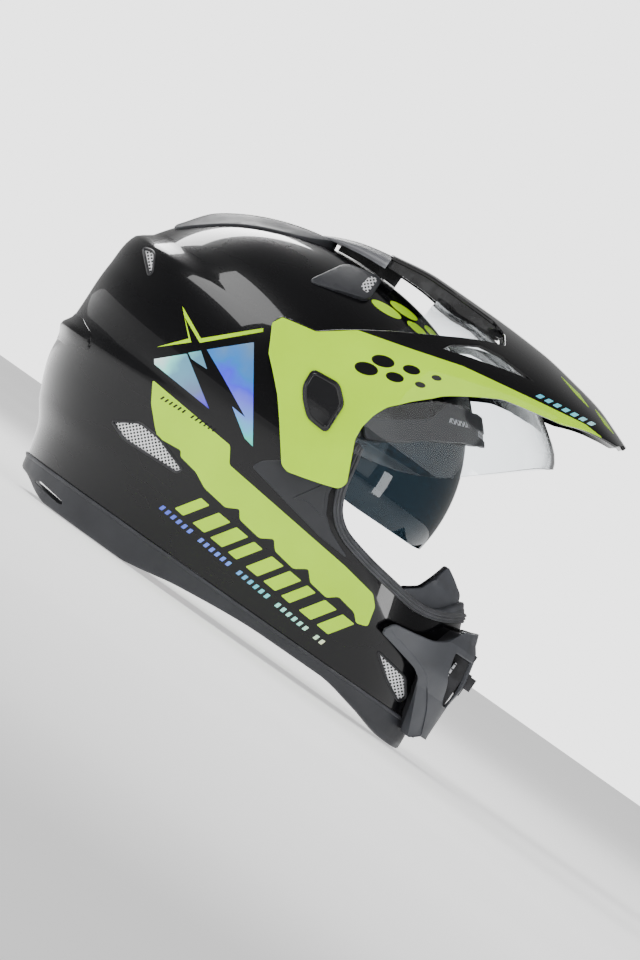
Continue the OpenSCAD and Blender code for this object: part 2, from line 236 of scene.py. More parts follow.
@dataclass(frozen=True)
class ShellForm:
    """The moulded shell's outer surface as a stack of plan outlines."""

    mid_x: float = -25.0
    dome_z: float = 130.0
    crown_z: float = 245.0
    dome_p: float = 2.2
    plan_p: float = 2.1
    half: Rows = field(default_factory=lambda: Rows(
        [(0, 98), (20, 104), (60, 116), (100, 121), (130, 122), (260, 122)]))
    front: Rows = field(default_factory=lambda: Rows(
        [(0, 186), (20, 184), (50, 183), (85, 176), (100, 170), (150, 150), (185, 131), (260, 128)]))
    rear: Rows = field(default_factory=lambda: Rows(
        [(0, 117), (24, 122), (40, 127), (56, 137), (88, 148), (104, 149), (112, 148), (150, 150),
         (176, 155), (184, 149), (260, 147)]))

    def dome(self, z: Array) -> Array:
        """How far the plan outline has closed in at a height, from 1 to 0 at the crown."""
        u = np.clip((z - self.dome_z) / (self.crown_z - self.dome_z), 0, 1)
        return (1 - u ** self.dome_p) ** (1 / self.dome_p)

    def fullness(self, x: Array, y: Array, z: Array) -> Array:
        """Is 1 on the surface, less inside and more outside.

        Args:
            x: forward.
            y: to the left.
            z: up.

        Returns:
            One value a point.
        """
        k = np.maximum(self.dome(z), 1e-4)
        along = x - self.mid_x
        reach = np.where(along > 0, self.front(z), self.rear(z)) * k
        return (np.abs(along) / reach) ** self.plan_p + (np.abs(y) / (self.half(z) * k)) ** self.plan_p

    def normals(self, points: Array) -> Array:
        """Unit normals at points on the surface.

        Args:
            points: points on the surface.

        Returns:
            One unit vector a point.
        """
        x, y, z = points.T
        d = 0.05
        n = np.stack([
            self.fullness(x + d, y, z) - self.fullness(x - d, y, z),
            self.fullness(x, y + d, z) - self.fullness(x, y - d, z),
            self.fullness(x, y, z + d) - self.fullness(x, y, z - d)], 1)
        return unit(n)

    def ring(self, z: float, t: float, nose: float = 0.0, count: int = 192) -> Array:
        """One plan outline.

        Args:
            z: its height.
            t: how far inside the surface it lies.
            nose: how far its front is pulled forward.
            count: the number of points.

        Returns:
            The points.
        """
        zz = z
        if z > self.dome_z:
            rise = self.crown_z - self.dome_z
            zz = self.dome_z + (z - self.dome_z) * rise / (rise - t)
        k = self.dome(np.array(zz))
        a = 2 * np.pi * np.arange(count) / count
        c = signed_power(np.cos(a), 2 / self.plan_p)
        reach = np.where(c > 0, self.front(zz) - t + nose, self.rear(zz) - t) * k
        y = (self.half(zz) - t) * k * signed_power(np.sin(a), 2 / self.plan_p)
        return np.stack([self.mid_x + reach * c, y, np.full(count, z)], 1)

    def from_side(self, side: Side) -> Mapping:
        """A mapping from side view x and z to the surface on one side.

        Args:
            side: the wearer's right or left.

        Returns:
            The mapping, which gives points and unit normals.
        """

        def place(x: Array, z: Array) -> tuple[Array, Array]:
            """Finds the surface at x and z.

            Args:
                x: forward.
                z: up.

            Returns:
                Points and unit normals.
            """
            k = self.dome(z)
            along = x - self.mid_x
            reach = np.where(along > 0, self.front(z), self.rear(z)) * k
            u = np.clip(1 - (np.abs(along) / reach) ** self.plan_p, 1e-5, 1)
            y = side.value * self.half(z) * k * u ** (1 / self.plan_p)
            points = np.stack([x, y, z], 1)
            return points, self.normals(points)

        return place

    def from_plan_angle(self, nose: float = 0.0) -> Mapping:
        """A mapping from a plan angle in degrees (0 in front) and a height to the surface.

        Args:
            nose: whether the form has the chin's nose.

        Returns:
            The mapping, which gives points and unit normals.
        """

        def place(angle: Array, z: Array) -> tuple[Array, Array]:
            """Finds the surface at an angle and a height.

            Args:
                angle: plan angles.
                z: heights.

            Returns:
                Points and unit normals.
            """
            a = np.radians(angle)
            k = self.dome(z)
            c = signed_power(np.cos(a), 2 / self.plan_p)
            reach = np.where(c > 0, self.front(z) + nose, self.rear(z)) * k
            y = self.half(z) * k * signed_power(np.sin(a), 2 / self.plan_p)
            points = np.stack([self.mid_x + reach * c, y, z], 1)
            near = points.copy()
            near[:, 0] = self.mid_x + (points[:, 0] - self.mid_x) * (reach - nose * k * (c > 0)) / reach
            return points, self.normals(near)

        return place

    def angle_at(self, x: float, z: float, nose: float = 0.0) -> float:
        """The plan angle in degrees at which the surface at a height stands at x.

        Args:
            x: forward.
            z: up.
            nose: whether the form has the chin's nose.

        Returns:
            The angle.
        """
        k = float(self.dome(np.array(float(z))))
        along = x - self.mid_x
        reach = float(self.front(z) + nose if along > 0 else self.rear(z)) * k
        c = min(1.0, abs(along) / reach) ** (self.plan_p / 2)
        return math.degrees(math.acos(math.copysign(c, along)))

    def from_top(self) -> Mapping:
        """A mapping from plan x and y to the surface's top.

        Returns:
            The mapping, which gives points and unit normals.
        """

        def place(x: Array, y: Array) -> tuple[Array, Array]:
            """Finds the surface above x and y.

            Args:
                x: forward.
                y: to the left.

            Returns:
                Points and unit normals.
            """
            low = np.full(len(x), self.dome_z)
            high = np.full(len(x), self.crown_z - 1e-3)
            for _ in range(40):
                mid = (low + high) / 2
                full = self.fullness(x, y, mid) > 1
                high = np.where(full, mid, high)
                low = np.where(full, low, mid)
            points = np.stack([x, y, (low + high) / 2], 1)
            return points, self.normals(points)

        return place


@dataclass(frozen=True)
class PeakForm:
    """The peak's outer surface: a stack of arches along X."""

    power: float = 2.1
    ridge: Rows = field(default_factory=lambda: Rows(
        [(-78, 241), (-64, 250), (-45, 258), (-22, 263), (7, 267), (50, 267.4), (90, 266), (119, 262),
         (140, 258), (160, 251), (170, 247)]))
    arm: Rows = field(default_factory=lambda: Rows(
        [(-80, 128.5), (-10, 129.5), (30, 129.5), (60, 123), (100, 106), (140, 84), (160, 68), (170, 56)]))
    spring: Rows = field(default_factory=lambda: Rows(
        [(-80, 150), (-30, 173), (0, 181), (30, 191), (60, 206), (100, 223), (140, 235), (170, 240)]))

    def point(self, x: Array, turn: Array) -> Array:
        """The outer surface at x and at an angle over the arch.

        Args:
            x: stations.
            turn: degrees from the right arm's spring line over the ridge; below 0 and above 180 it is a
                height in millimetres below the spring line.

        Returns:
            The points.
        """
        low, top, w = self.spring(x), self.ridge(x), self.arm(x)
        a = np.radians(np.clip(turn, 0, 180))
        down = np.maximum(-turn, 0) + np.maximum(turn - 180, 0)
        y = -w * signed_power(np.cos(a), 2 / self.power)
        z = low + (top - low) * np.sin(a) ** (2 / self.power) - down
        return np.stack([x, y, z], 1)

    def turn_at(self, x: Array, z: Array) -> Array:
        """The angle over the arch at which the right side stands at a height.

        Args:
            x: forward.
            z: up.

        Returns:
            The angles in degrees.
        """
        low, top = self.spring(x), self.ridge(x)
        u = np.clip((z - low) / (top - low), 0, 1)
        return np.where(z < low, z - low, np.degrees(np.arcsin(u ** (self.power / 2))))

    def mapping(self) -> Mapping:
        """A mapping from x and the angle over the arch to the surface.

        Returns:
            The mapping, which gives points and unit normals.
        """

        def place(x: Array, turn: Array) -> tuple[Array, Array]:
            """Finds the surface at x and an angle.

            Args:
                x: forward.
                turn: degrees over the arch.

            Returns:
                Points and unit normals.
            """
            points = self.point(x, turn)
            dx = self.point(x + 0.5, turn) - self.point(x - 0.5, turn)
            dt = self.point(x, turn + 0.5) - self.point(x, turn - 0.5)
            n = unit(np.cross(dt, dx))
            outward = np.sign(np.sum(n * (points - np.array([40.0, 0, 150.0])), 1))
            return points, n * outward[:, None]

        return place

    def from_side(self, side: Side) -> Mapping:
        """A mapping from side view x and z to the surface on one side.

        Args:
            side: the wearer's right or left.

        Returns:
            The mapping, which gives points and unit normals.
        """
        place_turn = self.mapping()

        def place(x: Array, z: Array) -> tuple[Array, Array]:
            turn = self.turn_at(x, z)
            return place_turn(x, turn if side is Side.RIGHT else 180 - turn)

        return place


@dataclass(frozen=True)
class DiscForm:
    """A lens-shaped surface about a cross axis, which a visor is cut from."""

    x: float
    z: float
    half: float
    power: float
    reach: Rows

    def loops(self, t: float, rows: int = 64, count: int = 160) -> list[Array]:
        """Closed loops from the right pole to the left one, t inside the surface.

        Args:
            t: how far inside the surface.
            rows: how many loops.
            count: points in a loop.

        Returns:
            The loops.
        """
        out = []
        a = 2 * np.pi * np.arange(count) / count - np.pi
        r = self.reach(np.degrees(a)) - t
        for b in np.radians(np.linspace(-86, 86, rows)):
            k = (1 - abs(math.sin(b)) ** self.power) ** (1 / self.power)
            y = np.full(count, (self.half - t) * math.sin(b))
            out.append(np.stack([self.x + r * k * np.cos(a), y, self.z + r * k * np.sin(a)], 1))
        return out

    def from_side(self, side: Side) -> Mapping:
        """A mapping from side view x and z to the surface on one side.

        Args:
            side: the wearer's right or left.

        Returns:
            The mapping, which gives points and unit normals.
        """

        def place(x: Array, z: Array) -> tuple[Array, Array]:
            """Finds the surface at x and z.

            Args:
                x: forward.
                z: up.

            Returns:
                Points and unit normals.
            """
            def depth(px: Array, pz: Array) -> Array:
                """How far the surface stands from the middle plane.

                Args:
                    px: forward.
                    pz: up.

                Returns:
                    The distances.
                """
                r = np.hypot(px - self.x, pz - self.z)
                q = self.reach(np.degrees(np.arctan2(pz - self.z, px - self.x)))
                return self.half * np.clip(1 - (r / q) ** self.power, 1e-6, 1) ** (1 / self.power)

            y = depth(x, z)
            points = np.stack([x, side.value * y, z], 1)
            gx = (depth(x + 0.1, z) - depth(x - 0.1, z)) / 0.2
            gz = (depth(x, z + 0.1) - depth(x, z - 0.1)) / 0.2
            n = np.stack([-gx, np.full(len(x), float(side.value)), -gz], 1)
            return points, unit(n)

        return place


SHELL = ShellForm()
PEAK = PeakForm()
SHIELD = DiscForm(-7, 158, 125.7, 2.6, Rows(
    [(-180, 101), (-90, 140), (-40, 155), (19, 155), (31, 142), (45, 127.5), (60, 113.4), (77, 101),
     (180, 101)]))
LENS = DiscForm(-5.6, 132.5, 108, 2.2, Rows([(-180, 105.5), (180, 105.5)]))
EYE_PORT = [(37, 118), (44, 105), (54, 98), (77, 92.5), (118, 87), (134, 91), (150, 102), (240, 103),
            (240, 200), (92, 192), (60, 174), (30, 151), (34, 135)]


# ---------------------------------------------------------------- meshes


def to_object(name: str, points: Array, faces: Sequence[Sequence[int]]) -> bpy.types.Object:
    """Makes a smoothly shaded mesh object from millimetre points.

    Args:
        name: the object's name.
        points: the vertices.
        faces: the faces, as indices of vertices.

    Returns:
        The linked object.
    """
    mesh = bpy.data.meshes.new(name)
    mesh.from_pydata((np.asarray(points) * MM).tolist(), [], [list(map(int, f)) for f in faces])
    mesh.update()
    obj = bpy.data.objects.new(name, mesh)
    bpy.context.scene.collection.objects.link(obj)
    work = bmesh.new()
    work.from_mesh(mesh)
    bmesh.ops.recalc_face_normals(work, faces=work.faces[:])
    work.to_mesh(mesh)
    work.free()
    mesh.polygons.foreach_set("use_smooth", [True] * len(mesh.polygons))
    return obj


def loft(name: str, loops: Sequence[Array], caps: bool = True) -> bpy.types.Object:
    """Joins a stack of closed loops of equal count into a mesh.

    Args:
        name: the object's name.
        loops: the loops in order.
        caps: whether both ends close.

    Returns:
        The object.
    """
    n, m = len(loops[0]), len(loops)
    faces = [(j * n + i, j * n + (i + 1) % n, (j + 1) * n + (i + 1) % n, (j + 1) * n + i)
             for j in range(m - 1) for i in range(n)]
    if caps:
        faces.append(tuple(range(n)))
        faces.append(tuple((m - 1) * n + i for i in range(n)))
    return to_object(name, np.concatenate(loops), faces)


def prism(outline: Array, low: float = -200.0, high: float = 200.0) -> bpy.types.Object:
    """A closed bar across the helmet with a side outline of x and z."""
    loops = [np.stack([outline[:, 0], np.full(len(outline), y), outline[:, 1]], 1) for y in (low, high)]
    return loft("cutter", loops)


def block(low: Sequence[float], high: Sequence[float]) -> bpy.types.Object:
    """A closed box between two corners, used only to cut with."""
    outline = np.array([(low[0], low[2]), (high[0], low[2]), (high[0], high[2]), (low[0], high[2])], float)
    return prism(outline, low[1], high[1])


def settle(obj: bpy.types.Object) -> bpy.types.Object:
    """Applies an object's modifiers to its mesh.

    Args:
        obj: the object.

    Returns:
        The same object.
    """
    graph = bpy.context.evaluated_depsgraph_get()
    made = bpy.data.meshes.new_from_object(obj.evaluated_get(graph))
    old = obj.data
    obj.modifiers.clear()
    obj.data = made
    bpy.data.meshes.remove(old)
    return obj


def carve(obj: bpy.types.Object, tool: bpy.types.Object, keep: bool = False) -> bpy.types.Object:
    """Cuts a tool out of an object, or keeps only what is inside it, and removes the tool.

    Args:
        obj: the object to cut.
        tool: the closed cutter.
        keep: whether the inside is kept instead of the outside.

    Returns:
        The cut object.
    """
    mod = obj.modifiers.new("cut", "BOOLEAN")
    mod.operation = "INTERSECT" if keep else "DIFFERENCE"
    mod.solver = "EXACT"
    mod.object = tool
    settle(obj)
    bpy.data.objects.remove(tool)
    return obj


def places(mesh: bpy.types.Mesh) -> Array:
    """The vertices' places, in metres.

    Args:
        mesh: the mesh.

    Returns:
        One row a vertex.
    """
    out = np.empty(len(mesh.vertices) * 3)
    mesh.vertices.foreach_get("co", out)
    return out.reshape(-1, 3)


def crisp(obj: bpy.types.Object, angle: float = 35.0) -> bpy.types.Object:
    """Shades smoothly except across edges sharper than an angle.

    Args:
        obj: the object.
        angle: the limit in degrees.

    Returns:
        The same object.
    """
    obj.data.polygons.foreach_set("use_smooth", [True] * len(obj.data.polygons))
    obj.data.set_sharp_from_angle(angle=math.radians(angle))
    return obj


@dataclass
class Panel:
    """A thin moulding laid on a surface, with rounded rims.

    Attributes:
        mapping: takes the outline's plane to the surface and its normals.
        loops: the outline and any holes, in the mapping's plane.
        high: how far its face stands off the surface.
        low: how far its back stands off the surface.
        rim: the radius of its rounded rim.
        step: the spacing of its inner points.
        closed: whether it has a back face.
        grain: the scale of the plane's first axis to its second, for the inner points.
        crown: how much farther the face stands off at points of the plane.
    """

    mapping: Mapping
    loops: Sequence[Array]
    high: float = 0.6
    low: float = -0.4
    rim: float = 0.4
    step: float = 4.0
    closed: bool = False
    grain: float = 1.0
    crown: Callable[[Array], Array] | None = None

    def fill(self) -> tuple[Array, list[tuple[int, ...]]]:
        """Fills the outline's plane with triangles.

        Returns:
            The plane's points, the loops' own first, and the triangles.
        """
        rim_points = np.concatenate(self.loops)
        lo, hi = rim_points.min(0), rim_points.max(0)
        du, dv = self.step / self.grain, self.step
        us = np.arange(lo[0] + du / 2, hi[0], du)
        vs = np.arange(lo[1] + dv / 2, hi[1], dv)
        grid = np.array([(u + (0.5 * du if j % 2 else 0), v) for j, v in enumerate(vs) for u in us])
        if len(grid):
            grid = grid[inside(grid, self.loops)]
        if len(grid):
            scale = np.array([self.grain, 1.0])
            gap = np.min(np.linalg.norm((grid[:, None] - rim_points[None]) * scale, axis=2), axis=1)
            grid = grid[gap > self.step * 0.45]
        points = np.concatenate([rim_points, grid]) if len(grid) else rim_points
        edges, start = [], 0
        for loop in self.loops:
            n = len(loop)
            edges += [(start + i, start + (i + 1) % n) for i in range(n)]
            start += n
        made = delaunay_2d_cdt([Vector(p) for p in points.tolist()], edges, [], 0, 1e-6)
        flat = np.array([tuple(v) for v in made[0]])
        tris = np.array([tuple(f) for f in made[2] if len(f) == 3])
        centres = flat[tris].mean(1)
        tris = tris[inside(centres, self.loops)]
        origin = {src: new for new, many in enumerate(made[3]) for src in many}
        order = [origin[i] for i in range(len(rim_points))]
        rest = [i for i in range(len(flat)) if i not in set(order)]
        where = {old: new for new, old in enumerate(order + rest)}
        return flat[order + rest], [tuple(where[i] for i in t) for t in tris.tolist()]

    def build(self, name: str) -> bpy.types.Object:
        """Makes the panel's mesh.

        Args:
            name: the object's name.

        Returns:
            The object, with rounded rims.
        """
        flat, tris = self.fill()
        base, normal = self.mapping(flat[:, 0], flat[:, 1])
        lift = np.full(len(flat), self.high)
        if self.crown is not None:
            lift = lift + self.crown(flat)
        top = base + normal * lift[:, None]
        verts, faces, facing = [top], list(tris), [normal]
        count = len(flat)
        arcs = 3 if self.rim > 0.3 else 2
        if self.closed:
            verts.append(base + normal * self.low)
            facing.append(-normal)
            faces += [tuple(count + i for i in reversed(t)) for t in tris]
            count += len(flat)
        start = 0
        for loop in self.loops:
            n = len(loop)
            ids = np.arange(start, start + n)
            p, nrm, h = base[ids], normal[ids], lift[ids]
            along = np.roll(loop, -1, 0) - np.roll(loop, 1, 0)
            out2 = np.stack([along[:, 1], -along[:, 0]], 1)
            if area_of(loop) < 0:
                out2 = -out2
            if start > 0:
                out2 = -out2
            out2 = unit(out2)
            nudge = self.mapping(loop[:, 0] - out2[:, 0] * 0.3 / self.grain, loop[:, 1] - out2[:, 1] * 0.3)[0]
            t3 = unit(np.roll(p, -1, 0) - np.roll(p, 1, 0))
            out = p - nudge
            out -= nrm * np.sum(out * nrm, 1)[:, None]
            out = unit(out - t3 * np.sum(out * t3, 1)[:, None])
            rings = []
            for k in range(1, arcs + 1):
                a = math.pi / 2 * k / arcs
                rise = h - self.rim * (1 - math.cos(a))
                rings.append(p + out * self.rim * math.sin(a) + nrm * rise[:, None])
                facing.append(out * math.sin(a) + nrm * math.cos(a))
            if self.closed:
                for k in range(arcs, 0, -1):
                    a = math.pi / 2 * k / arcs
                    drop = self.low + self.rim * (1 - math.cos(a))
                    rings.append(p + out * self.rim * math.sin(a) + nrm * drop)
                    facing.append(out * math.sin(a) - nrm * math.cos(a))
            else:
                rings.append(p + out * self.rim + nrm * self.low)
                facing.append(out)
            last = ids
            for ring in rings:
                now = np.arange(count, count + n)
                verts.append(ring)
                count += n
                faces += [(int(last[i]), int(last[(i + 1) % n]), int(now[(i + 1) % n]), int(now[i]))
                          for i in range(n)]
                last = now
            if self.closed:
                back = len(flat) + ids
                faces += [(int(last[i]), int(last[(i + 1) % n]), int(back[(i + 1) % n]), int(back[i]))
                          for i in range(n)]
            start += n
        obj = to_object(name, np.concatenate(verts), faces)
        first = obj.data.polygons[0]
        if first.normal.dot(Vector(normal[first.vertices[0]])) < 0:
            obj.data.flip_normals()
        if self.crown is None:
            obj.data.normals_split_custom_set_from_vertices(np.concatenate(facing).tolist())
        return obj


def sweep(name: str, path: Array, normals: Array, section: Pairs, closed: bool = False) -> bpy.types.Object:
    """Carries a closed section along a path that lies on a surface.

    Args:
        name: the object's name.
        path: the path's points.
        normals: the surface's normals there.
        section: closed section, as distance across the path and height off the surface.
        closed: whether the path's ends meet.

    Returns:
        The swept object.
    """
    ahead = np.roll(path, -1, 0) - np.roll(path, 1, 0)
    if not closed:
        ahead[0], ahead[-1] = path[1] - path[0], path[-1] - path[-2]
    across = unit(np.cross(unit(ahead), normals))
    loops = [p + np.array([s[0] * a + s[1] * n for s in section])
             for p, a, n in zip(path, across, normals)]
    if closed:
        loops.append(loops[0])
    return crisp(loft(name, loops, caps=not closed), 50)


def flat_side(y: float, side: Side) -> Mapping:
    """A mapping from side view x and z to a flat plane on one side.

    Args:
        y: the plane's distance from the middle.
        side: the wearer's right or left.

    Returns:
        The mapping, which gives points and unit normals.
    """

    def place(x: Array, z: Array) -> tuple[Array, Array]:
        points = np.stack([x, np.full(len(x), side.value * y), z], 1)
        return points, np.tile([0.0, float(side.value), 0.0], (len(x), 1))

    return place


def face_normals_from(obj: bpy.types.Object, form: Callable[[Array], Array],
                      limit: float = 0.9) -> bpy.types.Object:
    """Shades faces that lie on a curved form as that form, and all others flat.

    Args:
        obj: the object, whose faces may be large after a cut.
        form: gives unit normals at points.
        limit: the least cosine between a face and the form for the face to count as lying on it.

    Returns:
        The object.
    """
    mesh = obj.data
    smooth = form(places(mesh) / MM)
    count = len(mesh.polygons)
    flat, middle, sizes = np.empty(count * 3), np.empty(count * 3), np.empty(count, int)
    mesh.polygons.foreach_get("normal", flat)
    mesh.polygons.foreach_get("center", middle)
    mesh.polygons.foreach_get("loop_total", sizes)
    flat = flat.reshape(-1, 3)
    match = np.sum(flat * form(middle.reshape(-1, 3) / MM), 1)
    corners = np.empty(len(mesh.loops), int)
    mesh.loops.foreach_get("vertex_index", corners)
    owner = np.repeat(np.arange(count), sizes)
    out = smooth[corners] * np.sign(match[owner])[:, None]
    sharp = np.abs(match[owner]) < limit
    out[sharp] = flat[owner][sharp]
    mesh.polygons.foreach_set("use_smooth", [True] * count)
    mesh.normals_split_custom_set(out.tolist())
    return obj


# ---------------------------------------------------------------- finishes


class Tree:
    """Builds one material's nodes."""

    def __init__(self, name: str) -> None:
        """Starts a material with a principled shader.

        Args:
            name: the material's name.
        """
        self.material = bpy.data.materials.new(name)
        self.material.use_nodes = True
        self.nodes = self.material.node_tree.nodes
        self.links = self.material.node_tree.links
        self.shader = self.nodes["Principled BSDF"]
        self.place = self.nodes.new("ShaderNodeTexCoord").outputs["Object"]

    def feed(self, socket: bpy.types.NodeSocket, value: object) -> None:
        """Links another node's output to a socket, or sets the socket's own value.

        Args:
            socket: the socket fed.
            value: another node's output, or a plain value.
        """
        if isinstance(value, bpy.types.NodeSocket):
            self.links.new(value, socket)
        else:
            socket.default_value = value

    def add(self, kind: str, inputs: dict | None = None, **settings: object) -> bpy.types.Node:
        """Adds a node.

        Args:
            kind: the node's type after "ShaderNode".
            inputs: values or outputs for its sockets, by name or number.
            settings: its own properties.

        Returns:
            The node.
        """
        node = self.nodes.new("ShaderNode" + kind)
        for key, value in settings.items():
            setattr(node, key, value)
        for key, value in (inputs or {}).items():
            self.feed(node.inputs[key], value)
        return node

    def set(self, **values: object) -> None:
        """Sets the shader's sockets, with underscores for spaces in their names."""
        for key, value in values.items():
            self.feed(self.shader.inputs[key.replace("_", " ")], value)

    def noise(self, scale: float, detail: float = 3.0, stretch: tuple = (1, 1, 1)) -> bpy.types.NodeSocket:
        """Noise over the piece's own place, squeezed along chosen axes.

        Args:
            scale: cycles to a metre.
            detail: octaves.
            stretch: the scale of each axis.

        Returns:
            The noise, from 0 to 1.
        """
        spot = self.add("Mapping", {"Vector": self.place, "Scale": stretch})
        inputs = {"Vector": spot.outputs[0], "Scale": scale, "Detail": detail}
        return self.add("TexNoise", inputs).outputs["Fac"]

    def ramp(self, value: bpy.types.NodeSocket, *stops: tuple, kind: str = "LINEAR") -> bpy.types.NodeSocket:
        """A colour ramp through stops of place and colour, or place and grey.

        Args:
            value: what is looked up.
            stops: pairs of a place and a colour or a grey.
            kind: how it runs between stops.

        Returns:
            The colour.
        """
        node = self.add("ValToRGB", {"Fac": value})
        node.color_ramp.interpolation = kind
        marks = node.color_ramp.elements
        while len(marks) < len(stops):
            marks.new(0.5)
        for mark, (place, colour) in zip(marks, stops):
            mark.position = place
            rgb = (colour,) * 3 if isinstance(colour, (int, float)) else colour
            mark.color = (*rgb, 1)
        return node.outputs["Color"]

    def span(self, value: bpy.types.NodeSocket, low: float, high: float,
             begin: float = 0.0, end: float = 1.0) -> bpy.types.NodeSocket:
        """Carries a value from begin..end to low..high."""
        return self.add("MapRange", {"Value": value, "From Min": begin, "From Max": end,
                                     "To Min": low, "To Max": high}).outputs["Result"]

    def bump(self, height: bpy.types.NodeSocket, strength: float, depth_mm: float) -> None:
        """Adds relief on top of any relief there already is.

        Args:
            height: the relief, from 0 to 1.
            strength: its share.
            depth_mm: its depth.
        """
        inputs = {"Height": height, "Strength": strength, "Distance": depth_mm * MM}
        before = self.shader.inputs["Normal"].links
        if before:
            inputs["Normal"] = before[0].from_socket
        self.set(Normal=self.add("Bump", inputs).outputs["Normal"])

    def edges(self, low: float = 0.52, high: float = 0.62) -> bpy.types.NodeSocket:
        """Is 1 along outer edges, broken up so that it reads as rubbing.

        Args:
            low: the curvature at which it starts.
            high: where it is full.

        Returns:
            The mask.
        """
        sharp = self.ramp(self.add("NewGeometry").outputs["Pointiness"], (low, 0.0), (high, 1.0))
        patches = self.ramp(self.noise(90, 5), (0.42, 0.0), (0.62, 1.0))
        return self.add("Math", {0: sharp, 1: patches}, operation="MULTIPLY").outputs[0]

    def blend(self, factor: bpy.types.NodeSocket, a: object, b: object) -> bpy.types.NodeSocket:
        """Mixes two colours, of which at least one comes from another node.

        Args:
            factor: the second colour's share.
            a: the first colour.
            b: the second colour.

        Returns:
            The mix.
        """
        node = self.add("Mix", {0: factor}, data_type="RGBA")
        self.feed(node.inputs[6], a if isinstance(a, bpy.types.NodeSocket) else (*a, 1))
        self.feed(node.inputs[7], b if isinstance(b, bpy.types.NodeSocket) else (*b, 1))
        return node.outputs[2]

    def plane(self, first: str, second: str, turn: float = 0.0) -> bpy.types.NodeSocket:
        """The piece's place on two axes, turned by degrees, for a flat pattern.

        Args:
            first: the first axis.
            second: the second axis.
            turn: degrees.

        Returns:
            The place on the plane.
        """
        parts = self.add("SeparateXYZ", {0: self.place})
        flat = self.add("CombineXYZ", {0: parts.outputs[first], 1: parts.outputs[second]})
        return self.add("Mapping", {"Vector": flat.outputs[0],
                                    "Rotation": (0, 0, math.radians(turn))}).outputs[0]


Colour = tuple[float, float, float]


@dataclass(frozen=True)
class Finish:
    """What a surface is made of.

    Attributes:
        name: the material's name.
        slot: the record's slot it belongs to.
        colour: its main colour.
    """

    name: str
    slot: str
    colour: Colour

    def build(self) -> bpy.types.Material:
        """Makes the material.

        Returns:
            The material.
        """
        tree = Tree(self.name)
        self.dress(tree)
        return tree.material

    def dress(self, tree: Tree) -> None:
        """Fills in the nodes; each kind of finish has its own."""
        raise NotImplementedError

    def shade(self, factor: float) -> Colour:
        """The main colour, darker or lighter."""
        return tuple(min(1.0, c * factor) for c in self.colour)


@dataclass(frozen=True)
class Gloss(Finish):
    """Clear-coated paint, with faint orange peel, smears and rubbed edges.

    Attributes:
        glow: how strongly a painted glow gives the main colour out as light, so a fluorescent colour looks
            bright.
        worn: the colour that shows along rubbed edges.
    """

    glow: float = 0.0
    worn: Colour = (0.08, 0.08, 0.085)

    def dress(self, tree: Tree) -> None:
        """Fills in the nodes.

        Args:
            tree: the material's nodes.
        """
        body = tree.ramp(tree.noise(24, 4), (0.3, self.shade(0.93)), (0.7, self.shade(1.05)))
        tree.set(Base_Color=tree.blend(tree.edges(0.56, 0.7), body, self.worn))
        smear = tree.noise(14, 6, (1, 1, 2.5))
        tree.set(Roughness=tree.span(smear, 0.2, 0.34, 0.3, 0.7), Coat_Weight=1.0, Specular_IOR_Level=0.08,
                 Coat_Roughness=tree.span(tree.noise(45, 8), 0.015, 0.06, 0.35, 0.75), Coat_IOR=1.33)
        # painted glow: the body colour is given out as light, whatever lamps shine on it
        if self.glow:
            tree.set(Emission_Color=body, Emission_Strength=self.glow)
        tree.bump(tree.noise(420, 2), 0.03, 0.08)


@dataclass(frozen=True)
class TwoTone(Gloss):
    """Gloss in two colours that meet along a line over the peak's arm.

    Attributes:
        above: the colour above the line.
        line: the line, as x and z pairs in millimetres.
    """

    above: Colour = (0.003, 0.003, 0.0035)
    line: Pairs = ((-63, 180), (-60, 186), (-37, 191), (-16, 207), (19, 217), (52, 227), (101, 236),
                   (138, 242.5), (150, 242), (170, 236))

    def dress(self, tree: Tree) -> None:
        """Fills in the nodes.

        Args:
            tree: the material's nodes.
        """
        super().dress(tree)
        parts = tree.add("SeparateXYZ", {0: tree.place})
        low_x, high_x = self.line[0][0], self.line[-1][0]
        along = tree.span(parts.outputs["X"], 0, 1, low_x * MM, high_x * MM)
        curve = tree.add("FloatCurve", {"Value": along})
        points = curve.mapping.curves[0].points
        while len(points) < len(self.line):
            points.new(0.5, 0.5)
        for point, (x, z) in zip(points, self.line):
            point.location = ((x - low_x) / (high_x - low_x), (z - 150) / 110)
            point.handle_type = "VECTOR"
        curve.mapping.update()
        height = tree.span(parts.outputs["Z"], 0, 1, 0.150, 0.260)
        over = tree.add("Math", {0: height, 1: curve.outputs["Value"]}, operation="SUBTRACT").outputs[0]
        side = tree.ramp(tree.span(over, 0, 1, -0.004, 0.004), (0.45, 0.0), (0.55, 1.0))
        colour = tree.shader.inputs["Base Color"].links[0].from_socket
        dark = tree.ramp(tree.noise(24, 4), (0.3, tuple(c * 0.8 for c in self.above)), (0.7, self.above))
        # the painted glow keeps to the yellow below the line; the black above gives out none
        tree.set(Base_Color=tree.blend(side, colour, dark),
                 Emission_Color=tree.blend(side, colour, (0.0, 0.0, 0.0)))


@dataclass(frozen=True)
class Satin(Finish):
    """Moulded plastic with a fine spark-eroded grain and paler, rubbed edges.

    Attributes:
        rough: its middle roughness.
        grain: the grain's size in millimetres.
        relief: how strong the grain is.
    """

    rough: float = 0.45
    grain: float = 0.55
    relief: float = 0.25

    def dress(self, tree: Tree) -> None:
        """Fills in the nodes.

        Args:
            tree: the material's nodes.
        """
        body = tree.ramp(tree.noise(38, 6), (0.3, self.shade(0.82)), (0.7, self.shade(1.15)))
        tree.set(Base_Color=tree.blend(tree.edges(), body, self.shade(2.2)))
        tree.set(Roughness=tree.span(tree.noise(60, 5), self.rough - 0.08, self.rough + 0.08, 0.3, 0.7),
                 Specular_IOR_Level=0.35)
        cells = tree.add("TexVoronoi", {"Vector": tree.place, "Scale": 1 / (self.grain * MM)})
        tree.bump(cells.outputs["Distance"], self.relief, 0.06)
        tree.bump(tree.noise(160, 3), 0.08, 0.2)


